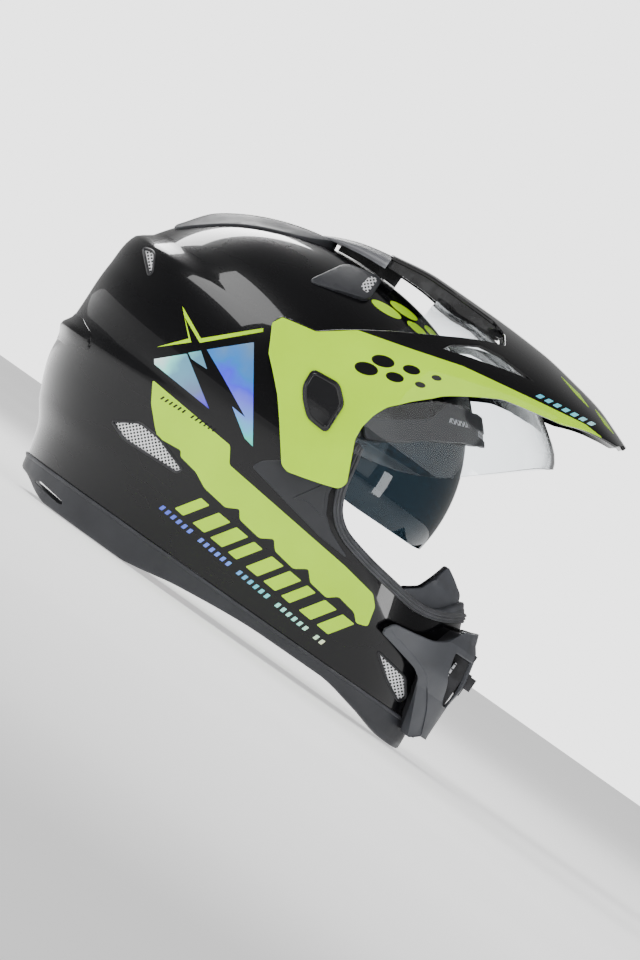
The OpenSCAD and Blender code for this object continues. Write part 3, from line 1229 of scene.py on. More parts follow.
@dataclass(frozen=True)
class Rubber(Finish):
    """Matt extruded rubber with fine cross ribs and a dusty bloom."""

    def dress(self, tree: Tree) -> None:
        """Fills in the nodes.

        Args:
            tree: the material's nodes.
        """
        bloom = tree.ramp(tree.noise(55, 7), (0.35, self.shade(0.8)), (0.68, self.shade(1.6)))
        tree.set(Base_Color=bloom, Roughness=tree.span(tree.noise(80, 4), 0.5, 0.7), Sheen_Weight=0.15)
        ribs = tree.add("TexWave", {"Vector": tree.place, "Scale": 260.0, "Distortion": 0.4},
                        wave_type="BANDS", bands_direction="X")
        tree.bump(ribs.outputs["Fac"], 0.3, 0.12)
        tree.bump(tree.noise(1500, 2), 0.2, 0.05)


@dataclass(frozen=True)
class Perforated(Finish):
    """Pale metal sheet with rows of small round holes, painted near black as painted shade.

    Attributes:
        pitch: the holes' spacing in millimetres.
        axes: the two axes the sheet mostly lies along.
    """

    pitch: float = 2.1
    axes: tuple[str, str] = ("X", "Z")

    def dress(self, tree: Tree) -> None:
        """Fills in the nodes.

        Args:
            tree: the material's nodes.
        """
        holes = tree.add("TexVoronoi", {"Vector": tree.plane(*self.axes, 45), "Scale": 1 / (self.pitch * MM),
                                        "Randomness": 0.0}, voronoi_dimensions="2D")
        near = holes.outputs["Distance"]
        tone = tree.ramp(tree.noise(70, 4), (0.3, self.shade(0.88)), (0.7, self.shade(1.05)))
        # painted shade: the holes are painted near black where the dark space behind them would show
        hole_shade_mask = tree.ramp(near, (0.3, 1.0), (0.36, 0.0))
        tree.set(Base_Color=tree.blend(hole_shade_mask, tone, (0.012, 0.012, 0.014)), Metallic=0.25,
                 Roughness=tree.span(hole_shade_mask, 0.34, 0.9))
        tree.bump(tree.ramp(near, (0.28, 0.0), (0.45, 1.0)), 0.5, 0.3)


@dataclass(frozen=True)
class Foil(Finish):
    """Diffraction film whose colour drifts across it, a painted reflection of its rainbow, with a painted
    glow.

    Attributes:
        along: the direction of the drift.
        low: where the drift starts, in metres along that direction.
        high: where it ends.
        hues: the ramp's stops.
    """

    along: tuple[float, float, float] = (0.45, 0.0, -0.9)
    low: float = -0.19
    high: float = -0.11
    hues: tuple = ((0.0, (0.2, 0.22, 0.36)), (0.2, (0.12, 0.24, 0.42)), (0.38, (0.02, 0.2, 0.62)),
                   (0.5, (0.05, 0.05, 0.95)), (0.62, (0.13, 0.14, 0.8)), (0.78, (0.1, 0.32, 0.7)),
                   (0.9, (0.02, 0.5, 0.55)), (1.0, (0.03, 0.62, 0.16)))

    def dress(self, tree: Tree) -> None:
        """Fills in the nodes.

        Args:
            tree: the material's nodes.
        """
        drift = tree.add("VectorMath", {0: tree.place, 1: self.along}, operation="DOT_PRODUCT")
        part = tree.span(drift.outputs["Value"], 0, 1, self.low, self.high)
        wisp = tree.span(tree.noise(40, 3), -0.12, 0.12, 0.3, 0.7)
        value = tree.add("Math", {0: part, 1: wisp}, operation="ADD").outputs[0]
        # painted reflection: the hues paint in place the diffraction rainbow as one view shows it
        hue = tree.ramp(value, *self.hues)
        # Emission_Strength adds a painted glow to the film
        tree.set(Base_Color=hue, Metallic=0.3, Roughness=tree.span(tree.noise(60, 4), 0.25, 0.35),
                 Coat_Weight=1.0, Coat_Roughness=0.04, Emission_Color=hue, Emission_Strength=0.35)
        lines = tree.add("TexWave", {"Vector": tree.place, "Scale": 900.0}, bands_direction="DIAGONAL")
        tree.bump(lines.outputs["Fac"], 0.05, 0.02)


@dataclass(frozen=True)
class Clear(Finish):
    """Transparent plastic with faint wipe marks.

    Attributes:
        rough: its least roughness.
    """

    rough: float = 0.0

    def dress(self, tree: Tree) -> None:
        """Fills in the nodes.

        Args:
            tree: the material's nodes.
        """
        wipes = tree.ramp(tree.noise(30, 7, (1, 1, 4)), (0.5, 0.0), (0.75, 1.0))
        tint = tree.ramp(tree.noise(12, 2), (0.3, self.shade(0.97)), (0.7, self.colour))
        tree.set(Base_Color=tint, Transmission_Weight=1.0, IOR=1.32,
                 Roughness=tree.span(wipes, self.rough, self.rough + 0.03))


@dataclass(frozen=True)
class Knit(Finish):
    """Brushed knit cloth over foam.

    Attributes:
        pitch: the loops' spacing in millimetres.
    """

    pitch: float = 1.4

    def dress(self, tree: Tree) -> None:
        """Fills in the nodes.

        Args:
            tree: the material's nodes.
        """
        body = tree.ramp(tree.noise(45, 6), (0.3, self.shade(0.7)), (0.7, self.shade(1.4)))
        rows = tree.add("TexVoronoi", {"Vector": tree.place, "Scale": 1 / (self.pitch * MM),
                                       "Randomness": 0.35})
        loops = tree.ramp(rows.outputs["Distance"], (0.2, 1.0), (0.6, 0.35))
        tree.set(Base_Color=tree.add("Mix", {0: 0.8, 6: body, 7: loops}, data_type="RGBA",
                                     blend_type="MULTIPLY").outputs[2],
                 Roughness=tree.span(tree.noise(70, 3), 0.86, 0.98), Sheen_Weight=0.45, Sheen_Roughness=0.5)
        tree.bump(rows.outputs["Distance"], 0.6, 0.35)
        tree.bump(tree.noise(2600, 3), 0.3, 0.1)


@dataclass(frozen=True)
class Webbing(Finish):
    """Flat woven strap: close ribs across it and a fine twill."""

    def dress(self, tree: Tree) -> None:
        """Fills in the nodes.

        Args:
            tree: the material's nodes.
        """
        ribs = tree.add("TexWave", {"Vector": tree.place, "Scale": 190.0}, bands_direction="Y")
        twill = tree.add("TexWave", {"Vector": tree.place, "Scale": 300.0}, bands_direction="DIAGONAL")
        tone = tree.ramp(ribs.outputs["Fac"], (0.1, self.shade(0.6)), (0.8, self.shade(1.5)))
        tree.set(Base_Color=tone, Roughness=0.82, Sheen_Weight=0.3)
        tree.bump(ribs.outputs["Fac"], 0.5, 0.25)
        tree.bump(twill.outputs["Fac"], 0.35, 0.15)


@dataclass(frozen=True)
class Beads(Finish):
    """Moulded bead foam: flattened beads with dark seams between them."""

    def dress(self, tree: Tree) -> None:
        """Fills in the nodes.

        Args:
            tree: the material's nodes.
        """
        cells = tree.add("TexVoronoi", {"Vector": tree.place, "Scale": 320.0}, feature="DISTANCE_TO_EDGE")
        hue = tree.add("TexVoronoi", {"Vector": tree.place, "Scale": 320.0})
        tone = tree.ramp(hue.outputs["Distance"], (0.0, self.shade(1.3)), (0.9, self.shade(0.7)))
        seam = tree.ramp(cells.outputs["Distance"], (0.0, 1.0), (0.08, 0.0))
        tree.set(Base_Color=tree.blend(seam, tone, self.shade(0.4)),
                 Roughness=tree.span(tree.noise(90, 4), 0.75, 0.92))
        tree.bump(tree.ramp(cells.outputs["Distance"], (0.0, 0.0), (0.2, 1.0)), 0.5, 0.3)


@dataclass(frozen=True)
class Brushed(Finish):
    """Brushed metal with fine lines and duller patches."""

    def dress(self, tree: Tree) -> None:
        """Fills in the nodes.

        Args:
            tree: the material's nodes.
        """
        lines = tree.noise(900, 5, (0.05, 1, 1))
        tone = tree.ramp(tree.noise(60, 5), (0.3, self.shade(0.75)), (0.7, self.shade(1.1)))
        tree.set(Base_Color=tone, Metallic=1.0, Roughness=tree.span(lines, 0.22, 0.45, 0.3, 0.7))
        tree.bump(lines, 0.15, 0.03)


# glow sets a painted glow on the fluorescent yellow
FLUORESCENT = {"colour": (0.4, 0.7, 0.0), "glow": 0.25, "worn": (0.3, 0.45, 0.0)}
YELLOW = Gloss("fluorescent_yellow", "shell_gloss", **FLUORESCENT)
BLACK = Gloss("gloss_black", "shell_gloss", (0.002, 0.002, 0.0026), worn=(0.03, 0.03, 0.032))
PEAK_PAINT = TwoTone("peak_two_tone", "peak_gloss", **FLUORESCENT)
PEAK_BLACK = Gloss("peak_mark_black", "peak_gloss", (0.003, 0.003, 0.0035))
PEAK_YELLOW = Gloss("peak_mark_yellow", "peak_gloss", **FLUORESCENT)
FOIL = Foil("foil_right_piece", "shell_gloss", (1, 1, 1))
FOIL_LEFT = Foil("foil_left_piece", "shell_gloss", (1, 1, 1), along=(1.0, 0.0, -0.35), low=-0.152,
                 high=-0.104,
                 hues=((0.0, (0.8, 0.9, 0.9)), (0.18, (0.2, 0.75, 0.68)), (0.34, (0.1, 0.3, 0.42)),
                       (0.6, (0.11, 0.16, 0.32)), (0.85, (0.08, 0.06, 0.6)), (1.0, (0.04, 0.01, 0.6))))
DASH_FOIL = Foil("foil_dashes", "shell_gloss", (1, 1, 1), along=(1.0, 0.0, 0.0), low=-0.06, high=0.085,
                 hues=((0.0, (0.03, 0.05, 0.5)), (0.35, (0.08, 0.16, 0.7)), (0.55, (0.05, 0.5, 0.6)),
                       (0.8, (0.25, 0.75, 0.62)), (1.0, (0.75, 0.75, 0.4))))
PEAK_FOIL = Foil("foil_peak_dashes", "peak_gloss", (1, 1, 1), along=(1.0, 0.0, 0.0), low=0.095, high=0.15,
                 hues=((0.0, (0.05, 0.45, 0.7)), (0.6, (0.15, 0.75, 0.85)), (1.0, (0.5, 0.85, 0.9))))
TRIM = Satin("trim_grey", "trim_satin", (0.055, 0.058, 0.066), rough=0.42)
BASE = Satin("trim_base", "trim_satin", (0.022, 0.023, 0.027), rough=0.45)
TRIM_DARK = Satin("trim_dark", "trim_satin", (0.028, 0.029, 0.033), rough=0.46)
PIVOT = Gloss("pivot_gloss", "cover_satin", (0.008, 0.008, 0.009))
COVER = Satin("cover_black", "cover_satin", (0.016, 0.016, 0.018), rough=0.38)
FIN = Satin("fin_grey", "fin_satin", (0.09, 0.092, 0.1), rough=0.4)
GASKET = Rubber("gasket_rubber", "gasket_rubber", (0.03, 0.031, 0.036))
MESH_SIDE = Perforated("mesh_side", "mesh_metal", (0.82, 0.82, 0.84))
MESH_FRONT = Perforated("mesh_front", "mesh_metal", (0.7, 0.71, 0.74), axes=("Y", "Z"), pitch=2.6)
CLEAR = Clear("clear_polycarbonate", "clear", (0.93, 0.955, 0.97))
TINT = Clear("tinted_polycarbonate", "tint", (0.075, 0.105, 0.125), rough=0.01)
CLOTH = Knit("liner_knit", "liner_cloth", (0.022, 0.022, 0.026))
PIPING = Knit("liner_piping", "liner_cloth", (0.1, 0.1, 0.11), pitch=0.8)
WEBBING = Webbing("strap_webbing", "webbing", (0.018, 0.018, 0.02))
FOAM = Beads("bead_foam", "foam", (0.035, 0.035, 0.04))
STEEL = Brushed("brushed_steel", "steel", (0.5, 0.5, 0.53))
RED = Gloss("red_lever", "lever_red", (0.42, 0.012, 0.012), worn=(0.6, 0.1, 0.08))


class Bench:
    """Dresses pieces and mounts them on their bodies."""

    def __init__(self) -> None:
        """Starts with no materials made."""
        self.made: dict[str, bpy.types.Material] = {}

    def material(self, finish: Finish) -> bpy.types.Material:
        """The finish's material, made the first time it is asked for.

        Args:
            finish: the finish.

        Returns:
            The material.
        """
        if finish.name not in self.made:
            self.made[finish.name] = finish.build()
        return self.made[finish.name]

    def mount(self, piece: bpy.types.Object, name: str, body: str, finish: Finish,
              *nodes: str) -> bpy.types.Object:
        """Names, paints and mounts a piece.

        Args:
            piece: the object.
            name: the name it gets.
            body: the body it moves with.
            finish: its finish.
            nodes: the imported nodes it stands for.

        Returns:
            The piece.
        """
        piece.name = name
        piece.data.name = name
        piece.data.materials.clear()
        piece.data.materials.append(self.material(finish))
        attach(piece, body)
        if nodes:
            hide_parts(*nodes)
        log.info("%s: %d faces on %s, %s", name, len(piece.data.polygons), body, finish.name)
        return piece

    def keep(self, node: str, finish: Finish) -> None:
        """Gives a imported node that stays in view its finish.

        Args:
            node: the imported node.
            finish: its finish.
        """
        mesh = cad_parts[node].data
        mesh.materials.clear()
        mesh.materials.append(self.material(finish))
        log.info("%s: kept, %s", node, finish.name)


# ---------------------------------------------------------------- sub-assemblies


def wrap(points: Pairs, nose: float = 0.0) -> list[tuple[float, float]]:
    """Turns side view x and z pairs into plan angles and heights."""
    return [(SHELL.angle_at(x, z, nose), z) for x, z in points]


def across(points: Pairs, nose: float = 0.0) -> list[tuple[float, float]]:
    """Turns front view y and z pairs into plan angles and heights.

    Args:
        points: y and z pairs.
        nose: whether the form has the chin's nose.

    Returns:
        The angles and heights.
    """
    out = []
    for y, z in points:
        half = float(SHELL.half(z)) * float(SHELL.dome(np.array(float(z))))
        sine = math.copysign(min(1, abs(y) / half) ** (SHELL.plan_p / 2), y)
        out.append((math.degrees(math.asin(sine)), z))
    return out


def mirrored(points: Pairs) -> list[tuple[float, float]]:
    """The other half of an outline in plan angle and height, in reverse order."""
    return [(-a, z) for a, z in reversed(points)]


PER_DEGREE = 2.7


def wrapped_loop(points: Pairs, radius: float = 1.0, step: float = 2.0) -> Array:
    """Rounds an outline in plan angle and height as if it were flat."""
    flat = rounded([(a * PER_DEGREE, z) for a, z in points], radius, step)
    return flat / np.array([PER_DEGREE, 1.0])


def both_halves(upper: list, lower: list, radius: float) -> Array:
    """Closes an outline that is the same on both sides.

    Args:
        upper: the right half of its upper edge, which ends in the middle.
        lower: the same of its lower edge.
        radius: the corner radius.

    Returns:
        The loop, in plan angle and height.
    """
    return wrapped_loop(upper[:-1] + mirrored(upper) + mirrored(lower)[::-1][:-1] + lower[::-1], radius)


@dataclass
class ShellAssembly:
    """The moulded shell, its printed graphics, its vents and the trims fixed to it.

    Attributes:
        thick: the wall thickness.
        hem: the height of its lower edge.
        print_high: how far a printed film stands off the paint.
        band: the big side flash, as x and z pairs.
    """

    bench: Bench
    thick: float = 2.8
    hem: float = 21.0
    print_high: float = 0.16
    band: Pairs = (
        (-104.8, 105.7), (-40.2, 100.1), (-33.5, 89.7), (64.5, 79.3), (88.9, 75.1), (94.9, 69), (98.2, 56),
        (91, 53.5), (86, 58.5), (72, 61), (66, 56), (52, 58), (46, 64.5), (38, 59), (22, 61.5), (17, 67.5),
        (9, 62.5), (-8, 65), (-12, 70.5), (-20, 66), (-38, 68.5), (-48.4, 73.7), (-62, 76), (-64, 79.5),
        (-81.1, 77.7), (-86.2, 82), (-97, 93))
    bars: int = 9
    bolt: Pairs = (
        (-114.7, 124.7), (-101.3, 140.6), (-116.7, 155.2), (-94.9, 145.1), (-66.2, 173.3), (-64.9, 171.5),
        (-93.9, 142.5), (-111.5, 150.4), (-98.6, 139.6))
    foils: tuple[Pairs, ...] = (
        ((-87.6, 141.5), (-65.8, 162.5), (-28.1, 107.9), (-35.3, 109.2), (-53.3, 121.1), (-42.3, 120.2),
         (-67.7, 132.5)),
        ((-111.8, 117.2), (-109.9, 114.6), (-64.8, 111.5), (-96.7, 131.9)),
        ((-96.2, 133.0), (-90.4, 138.7), (-80.4, 131.4), (-92.3, 131.0)))

    def skin(self) -> None:
        """Makes the hollow shell with its openings."""
        up = [SHELL.ring(z, 0) for z in np.linspace(self.hem, 128, 34)]
        turns = np.radians(np.linspace(2, 88.6, 46))
        rise = SHELL.crown_z - SHELL.dome_z
        up += [SHELL.ring(SHELL.dome_z + rise * math.sin(a) ** (2 / SHELL.dome_p), 0) for a in turns]
        down = [SHELL.ring(z, self.thick) for z in np.linspace(self.hem, 128, 16)]
        top = rise - self.thick
        down += [SHELL.ring(SHELL.dome_z + top * math.sin(a) ** (2 / SHELL.dome_p), self.thick)
                 for a in turns[::2]]
        shell = loft("shell", down[::-1] + up)
        carve(shell, prism(rounded(grown(EYE_PORT, 7.0), 9, 3)))
        for outline in (Vents.rear_side, Vents.rear_top):
            carve(shell, prism(rounded(outline, 2.5)))
        carve(shell, bar_through(rounded(Vents.chin_side, 3), 100.0))
        carve(shell, block((135, -18, 38), (175, 18, 60)))
        carve(shell, block((-125, -14, 205), (-91, 14, 265)))
        face_normals_from(shell, SHELL.normals)
        self.bench.mount(shell, "shell_skin", "helmet", BLACK, "outer_shell")

    def film(self, name: str, outline: Pairs, side: Side, finish: Finish, radius: float = 0.3) -> None:
        """Lays a printed film on one side of the shell.

        Args:
            name: the piece's name without its side.
            outline: its outline in the side view.
            side: the side it is on.
            finish: its finish.
            radius: its corner radius.
        """
        loop = rounded(outline, radius, 2.5)
        made = Panel(SHELL.from_side(side), [loop], self.print_high, -0.1, 0.08, 3.5).build(name)
        self.bench.mount(made, f"{name}_{side.word}", "helmet", finish)

    def graphics(self, side: Side) -> None:
        """Lays the side's printed graphics.

        Args:
            side: the wearer's right or left.
        """
        self.film("flash_band", self.band, side, YELLOW, 1.2)
        self.film("flash_bolt", self.bolt, side, YELLOW, 0.0)
        for i in range(self.bars):
            x, wide = -46 + i * 14.6, 9.6 if i % 3 else 7.0
            foot, head = 47.0 - i * 1.1, 62.0 - i * 1.1
            bar = ((x, foot), (x + wide, foot - 0.8), (x + wide + 10, head - 0.8), (x + 10, head))
            self.film(f"flash_bar_{i + 1}", bar, side, YELLOW, 0.6)
        self.film("foil_large", self.foils[0], side, FOIL, 0.2)
        self.film("foil_small", self.foils[1], side, FOIL_LEFT, 0.2)
        self.film("foil_sliver", self.foils[2], side, FOIL_LEFT, 0.2)
        self.dashes(side)
        spots = (((-9.1, 229.4), (11, 2.7), 4), ((0.6, 235.4), (10.5, 2.4), 1),
                 ((14.1, 230.6), (7.6, 2.1), -3), ((22.4, 234.6), (5.4, 1.6), -8))
        for i, (spot, size, tilt) in enumerate(spots):
            self.film(f"forehead_spot_{i + 1}", ellipse(spot, size, tilt), side, YELLOW, 0.0)

    def dashes(self, side: Side) -> None:
        """Lays the rows of short slanted dashes as one film each.

        Args:
            side: the wearer's right or left.
        """
        for name, start, end, count, size, finish in (
                ("dash_row_low", (-54.4, 41.0), (78.2, 29.4), 30, (2.4, 3.2), DASH_FOIL),
                ("dash_row_high", (-94.0, 98.6), (-52.0, 101.0), 14, (1.1, 2.6), BLACK)):
            parts = []
            for i in range(count):
                if i % 7 == 6:
                    continue
                t = i / (count - 1)
                x, z = start[0] + (end[0] - start[0]) * t, start[1] + (end[1] - start[1]) * t
                w, h = size
                loop = rounded([(x, z), (x + w, z), (x + w + h * 0.35, z + h), (x + h * 0.35, z + h)], 0.3, 2)
                high = self.print_high * (2 if finish is BLACK else 1)
                parts.append(Panel(SHELL.from_side(side), [loop], high, -0.1, 0.05, 3).build("dash"))
            self.bench.mount(merged(parts), f"{name}_{side.word}", "helmet", finish)

    def build(self) -> None:
        """Makes every piece."""
        self.skin()
        for side in Side:
            self.graphics(side)


def grown(outline: Pairs, amount: float) -> Array:
    """Moves an outline's edges outward.

    Args:
        outline: the corners.
        amount: how far.

    Returns:
        The new corners, anticlockwise.
    """
    pts = np.array(outline, float)
    if area_of(pts) < 0:
        pts = pts[::-1]
    ahead = unit(np.roll(pts, -1, 0) - pts)
    out = np.stack([ahead[:, 1], -ahead[:, 0]], 1)
    before = np.roll(out, 1, 0)
    return pts + amount * (out + before) / (1 + np.sum(out * before, 1))[:, None]


def bar_through(outline: Array, from_x: float) -> bpy.types.Object:
    """A cutter across the helmet, kept forward of a plane."""
    bar = prism(outline)
    return carve(bar, block((from_x, -250, -50), (400, 250, 400)), keep=True)


def merged(parts: Sequence[bpy.types.Object]) -> bpy.types.Object:
    """Joins several mesh objects into the first.

    Args:
        parts: the objects.

    Returns:
        The first object.
    """
    verts, faces, start = [], [], 0
    for part in parts:
        verts.append(places(part.data) / MM)
        faces += [tuple(start + v for v in p.vertices) for p in part.data.polygons]
        start += len(part.data.vertices)
    for part in parts:
        bpy.data.objects.remove(part)
    return crisp(to_object("merged", np.concatenate(verts), faces), 40)


@dataclass
class Vents:
    """The vents, their meshes and the fairings round them."""

    bench: Bench
    rear_side: ClassVar[Pairs] = ((-112, 69), (-96, 79), (-80, 78), (-56, 70), (-58, 66), (-98, 64))
    rear_top: ClassVar[Pairs] = ((-161.0, 172.0), (-152, 174.2), (-145.4, 162), (-146.4, 159))
    chin_side: ClassVar[Pairs] = ((112, 47), (138, 43), (146, 32), (143, 27), (128, 35))

    def rimmed(self, name: str, outline: Pairs, side: Side, node: str) -> None:
        """Makes a recessed mesh and the bead round its opening.

        Args:
            name: the vent's name.
            outline: its outline in the side view.
            side: the side it is on.
            node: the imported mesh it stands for.
        """
        place = SHELL.from_side(side)
        loop = rounded(grown(outline, -0.4), 2.2)
        mesh = Panel(place, [loop], -0.9, -1.9, 0.2, 3, closed=True).build(name)
        self.bench.mount(mesh, f"{name}_mesh_{side.word}", "helmet", MESH_SIDE, node)
        edge = rounded(outline, 2.5, 1.5)
        points, normals = place(edge[:, 0], edge[:, 1])
        bead = sweep(name, points, normals, ((-0.9, -1.2), (-0.9, 0.3), (-0.5, 0.75), (0.2, 0.8), (0.7, 0.35),
                                             (0.8, -1.2)), closed=True)
        self.bench.mount(bead, f"{name}_bead_{side.word}", "helmet", COVER)

    def top_cover(self) -> None:
        """Makes the crown's vent cover with louvres, whose grooves are dark strips of painted shade."""
        outline = rounded(((-151, -26), (-138, -32), (-92, -34), (-72, -27), (-60, -13), (-60, 13), (-72, 27),
                           (-92, 34), (-138, 32), (-151, 26)), 7, 2.5)
        slot = rounded(((-123, -9.2), (-88, -9.2), (-88, 9.2), (-123, 9.2)), 1.5, 2)
        cover = Panel(SHELL.from_top(), [outline, slot], 1.6, -0.3, 0.9, 3.0,
                      crown=lambda p: 3.4 * np.clip((31 - np.abs(p[:, 1])) / 13, 0, 1)
                      * smooth_step(p[:, 0], -152, -132)).build("cover")
        self.bench.mount(crisp(cover, 12), "top_vent_cover_shell", "helmet", TRIM_DARK, "top_vent_cover")
        # painted shade: dark strips stand just proud of the cover where the louvres' shaded grooves are
        groove_shades = []
        for s in (-1, 1):
            louvre = ((-128, s * 12), (-86, s * 11), (-78, s * 14), (-86, s * 17), (-124, s * 17))
            loop = rounded(louvre, 1.5, 2)
            groove_shades.append(Panel(SHELL.from_top(), [loop], 5.15, 4.0, 0.2, 3).build("groove"))
        self.bench.mount(merged(groove_shades), "top_vent_groove_shades", "helmet", COVER)

    def scoops(self, side: Side) -> None:
        """Makes one forehead scoop and its mouth.

        Args:
            side: the wearer's right or left.
        """
        place = SHELL.from_side(side)
        loop = rounded(((-60, 215), (-47, 238), (-23, 242), (-22, 226)), 3, 2)
        scoop = Panel(place, [loop], 1.2, -0.4, 0.8, 3,
                      crown=lambda p: 1.9 * smooth_step(p[:, 0], -58, -26)).build("scoop")
        self.bench.mount(crisp(scoop), f"forehead_scoop_shell_{side.word}", "helmet", TRIM_DARK,
                         f"forehead_scoop_{side.word}")
        mouth = rounded(((-31, 229), (-30, 238.5), (-25, 239.5), (-25, 228)), 1.5, 1.5)
        made = Panel(place, [mouth], 3.35, 2.6, 0.2, 2).build("mouth")
        self.bench.mount(made, f"forehead_scoop_mesh_{side.word}", "helmet", MESH_SIDE)

    def spoiler(self) -> None:
        """Makes the ridge across the back."""
        outline = wrapped_loop([(180 + a, z) for a, z in (
            (-34, 98), (-20, 92), (20, 92), (34, 98), (30, 107), (18, 112), (-18, 112), (-30, 107))], 4)
        made = Panel(SHELL.from_plan_angle(), [outline], 0.25, -0.3, 0.2, 2.6, grain=PER_DEGREE,
                     crown=lambda p: 3.2 * np.exp(-((p[:, 1] - 102) / 4.6) ** 2)
                     * smooth_step(32 - np.abs(p[:, 0] - 180), 0, 16)).build("spoiler")
        self.bench.mount(crisp(made, 50), "rear_ridge", "helmet", BLACK, "rear_spoiler")

    def build(self) -> None:
        """Makes every piece."""
        for side in Side:
            self.rimmed("rear_side_vent", self.rear_side, side, f"rear_vent_{side.word}")
            self.rimmed("rear_top_vent", self.rear_top, side, f"rear_top_mesh_{side.word}")
            self.rimmed("chin_side_vent", self.chin_side, side, f"chin_side_mesh_{side.word}")
            self.scoops(side)
        self.top_cover()
        self.spoiler()
        self.bench.keep("top_vent_slider", COVER)


@dataclass
class PortTrim:
    """Everything round the eye port: the gasket, the brow frame, the nose guard and the side trims."""

    bench: Bench

    def port_path(self, offset: float) -> tuple[Array, Array]:
        """The port's lower edge from the right side's back, round the front, to the left side's back.

        Args:
            offset: how far outside the port's edge the path runs.

        Returns:
            The path's points and the surface's normals there.
        """
        edge = rounded(grown(EYE_PORT, offset), 10, 1.5)
        low = edge[(edge[:, 1] < 150) & (edge[:, 0] < 149)]
        start = int(np.argmax(np.linalg.norm(np.roll(low, 1, 0) - low, axis=1)))
        low = np.roll(low, -start, 0)
        if low[0, 0] > low[-1, 0]:
            low = low[::-1]
        turn = np.array([SHELL.angle_at(x, z) for x, z in low])
        keep = turn > 1.0
        turn, height = turn[keep], low[keep, 1]
        turn, height = np.append(turn, 0.0), np.append(height, height[-1] + 0.4)
        turn = np.concatenate([-turn, turn[-2::-1]])
        height = np.concatenate([height, height[-2::-1]])
        points, normals = SHELL.from_plan_angle()(turn, height)
        gap = np.linalg.norm(np.diff(points, axis=0), axis=1)
        along = np.concatenate([[0], np.cumsum(gap)])
        even = np.linspace(0, along[-1], int(along[-1] / 2.0))
        turn = np.interp(even, along, turn)
        height = np.convolve(np.pad(np.interp(even, along, height), 3, mode="edge"), np.ones(7) / 7, "valid")
        return SHELL.from_plan_angle()(turn, height)

    def gasket(self) -> None:
        """Makes the ribbed rubber edging."""
        points, normals = self.port_path(3.4)
        section = ((3.3, -3.8), (3.3, 0.5), (3.0, 1.1), (2.4, 1.5), (1.8, 1.0), (1.4, 1.0), (0.9, 1.9),
                   (0.2, 2.0), (-0.3, 1.3), (-0.7, 1.3), (-1.2, 2.2), (-2.0, 2.1), (-2.9, 1.2), (-3.3, 0.0),
                   (-3.3, -3.8))
        made = sweep("gasket", points, normals, section)
        self.bench.mount(made, "port_gasket", "helmet", GASKET, "eyeport_gasket")

    def brow(self) -> None:
        """Makes the brow frame and its mesh."""
        nose = 4.0
        upper = wrap(((19, 163), (54, 187), (57, 200.5), (70, 204)), nose) + [(17.0, 206.3), (0.0, 206.6)]
        lower = wrap(((26.5, 153), (60, 175.5), (78, 186.5)), nose) + [(14.0, 191.8), (0.0, 192.6)]
        loop = both_halves(upper, lower, 2.5)
        window = wrapped_loop([(-19, 194.8), (19, 194.8), (19, 199.2), (-19, 199.2)], 1.2)
        slot = wrap(((62.5, 195), (73, 198.6), (78.5, 196.5), (63.5, 190.8)), nose)
        slots = [wrapped_loop([(s * a, z) for a, z in slot], 0.8) for s in (-1, 1)]
        place = SHELL.from_plan_angle(nose)
        plate = Panel(place, [loop, window, *slots], 3.2, 1.0, 0.6, 3, closed=True, grain=PER_DEGREE)
        self.bench.mount(plate.build("brow"), "brow_frame_shell", "helmet", TRIM_DARK, "brow_frame")
        inner = wrapped_loop([(-43.5, 189.8), (-22, 193.8), (22, 193.8), (43.5, 189.8), (42, 197),
                              (30, 199.8), (-30, 199.8), (-42, 197)], 1.2)
        mesh = Panel(place, [inner], 2.4, 1.5, 0.2, 3, closed=True, grain=PER_DEGREE).build("browmesh")
        self.bench.mount(mesh, "brow_mesh_sheet", "helmet", MESH_FRONT, "brow_mesh")

    def nose_guard(self) -> None:
        """Makes the swept guard over the nose, inside the port's lower lip."""
        side = wrap(((107, 89.5), (117, 97), (124, 118)), 0)
        top = side + [(13.0, 111.0), (0.0, 106.5)]
        low = [(side[0][0] - 2, 87.5), (24, 88), (0.0, 93)]
        loop = both_halves(top, low, 2)
        made = Panel(SHELL.from_plan_angle(), [loop], -5.0, -7.2, 0.6, 3, closed=True, grain=PER_DEGREE,
                     crown=lambda p: 1.4 * np.exp(-((p[:, 1] - 100 - 0.22 * np.abs(p[:, 0])) / 2.2) ** 2)
                     ).build("nose")
        self.bench.mount(crisp(made, 50), "nose_guard_wing", "helmet", TRIM, "nose_guard")
        points, normals = self.port_path(3.4)
        turn = np.degrees(np.arctan2(points[:, 1], points[:, 0] - 60))
        front = np.abs(turn) < 40
        points, normals, share = points[front], normals[front], 1 - (turn[front] / 40) ** 2
        for i, (rise, depth) in enumerate(((8.4, -4.4), (4.4, -1.8))):
            path = points + np.outer(share * rise, [0, 0, 1.0]) + normals * (share * depth - 1)[:, None]
            step = sweep("step", path, normals,
                         ((2.6, -3.0), (2.6, 0.6), (1.8, 1.4), (-1.2, 1.0), (-2.2, 0.2), (-2.4, -3.0)))
            self.bench.mount(step, f"nose_guard_step_{i + 1}", "helmet", TRIM)

    def side_trim(self, side: Side) -> None:
        """Makes one side's grey infill below the arm.

        Args:
            side: the wearer's right or left.
        """
        outline = ((-20.5, 97.5), (-17.5, 103.5), (10, 124.5), (24, 127.5), (27.3, 122), (28.3, 111),
                   (34.6, 99.2), (43.6, 91.9), (61, 84.6), (40, 86), (10, 91.6))
        made = Panel(SHELL.from_side(side), [rounded(outline, 1.2, 2)], 1.0, -0.3, 0.6, 3).build("trim")
        self.bench.mount(made, f"side_trim_plate_{side.word}", "helmet", BASE, f"side_trim_{side.word}")
        line = rounded(((12, 96), (25, 118), (26.5, 110), (34, 97), (20, 100)), 0.6, 2)
        rib = Panel(SHELL.from_side(side), [line], 1.5, 0.8, 0.4, 3).build("rib")
        self.bench.mount(rib, f"side_trim_rib_{side.word}", "helmet", BASE)

    def build(self) -> None:
        """Makes every piece."""
        self.gasket()
        self.brow()
        self.nose_guard()
        for side in Side:
            self.side_trim(side)


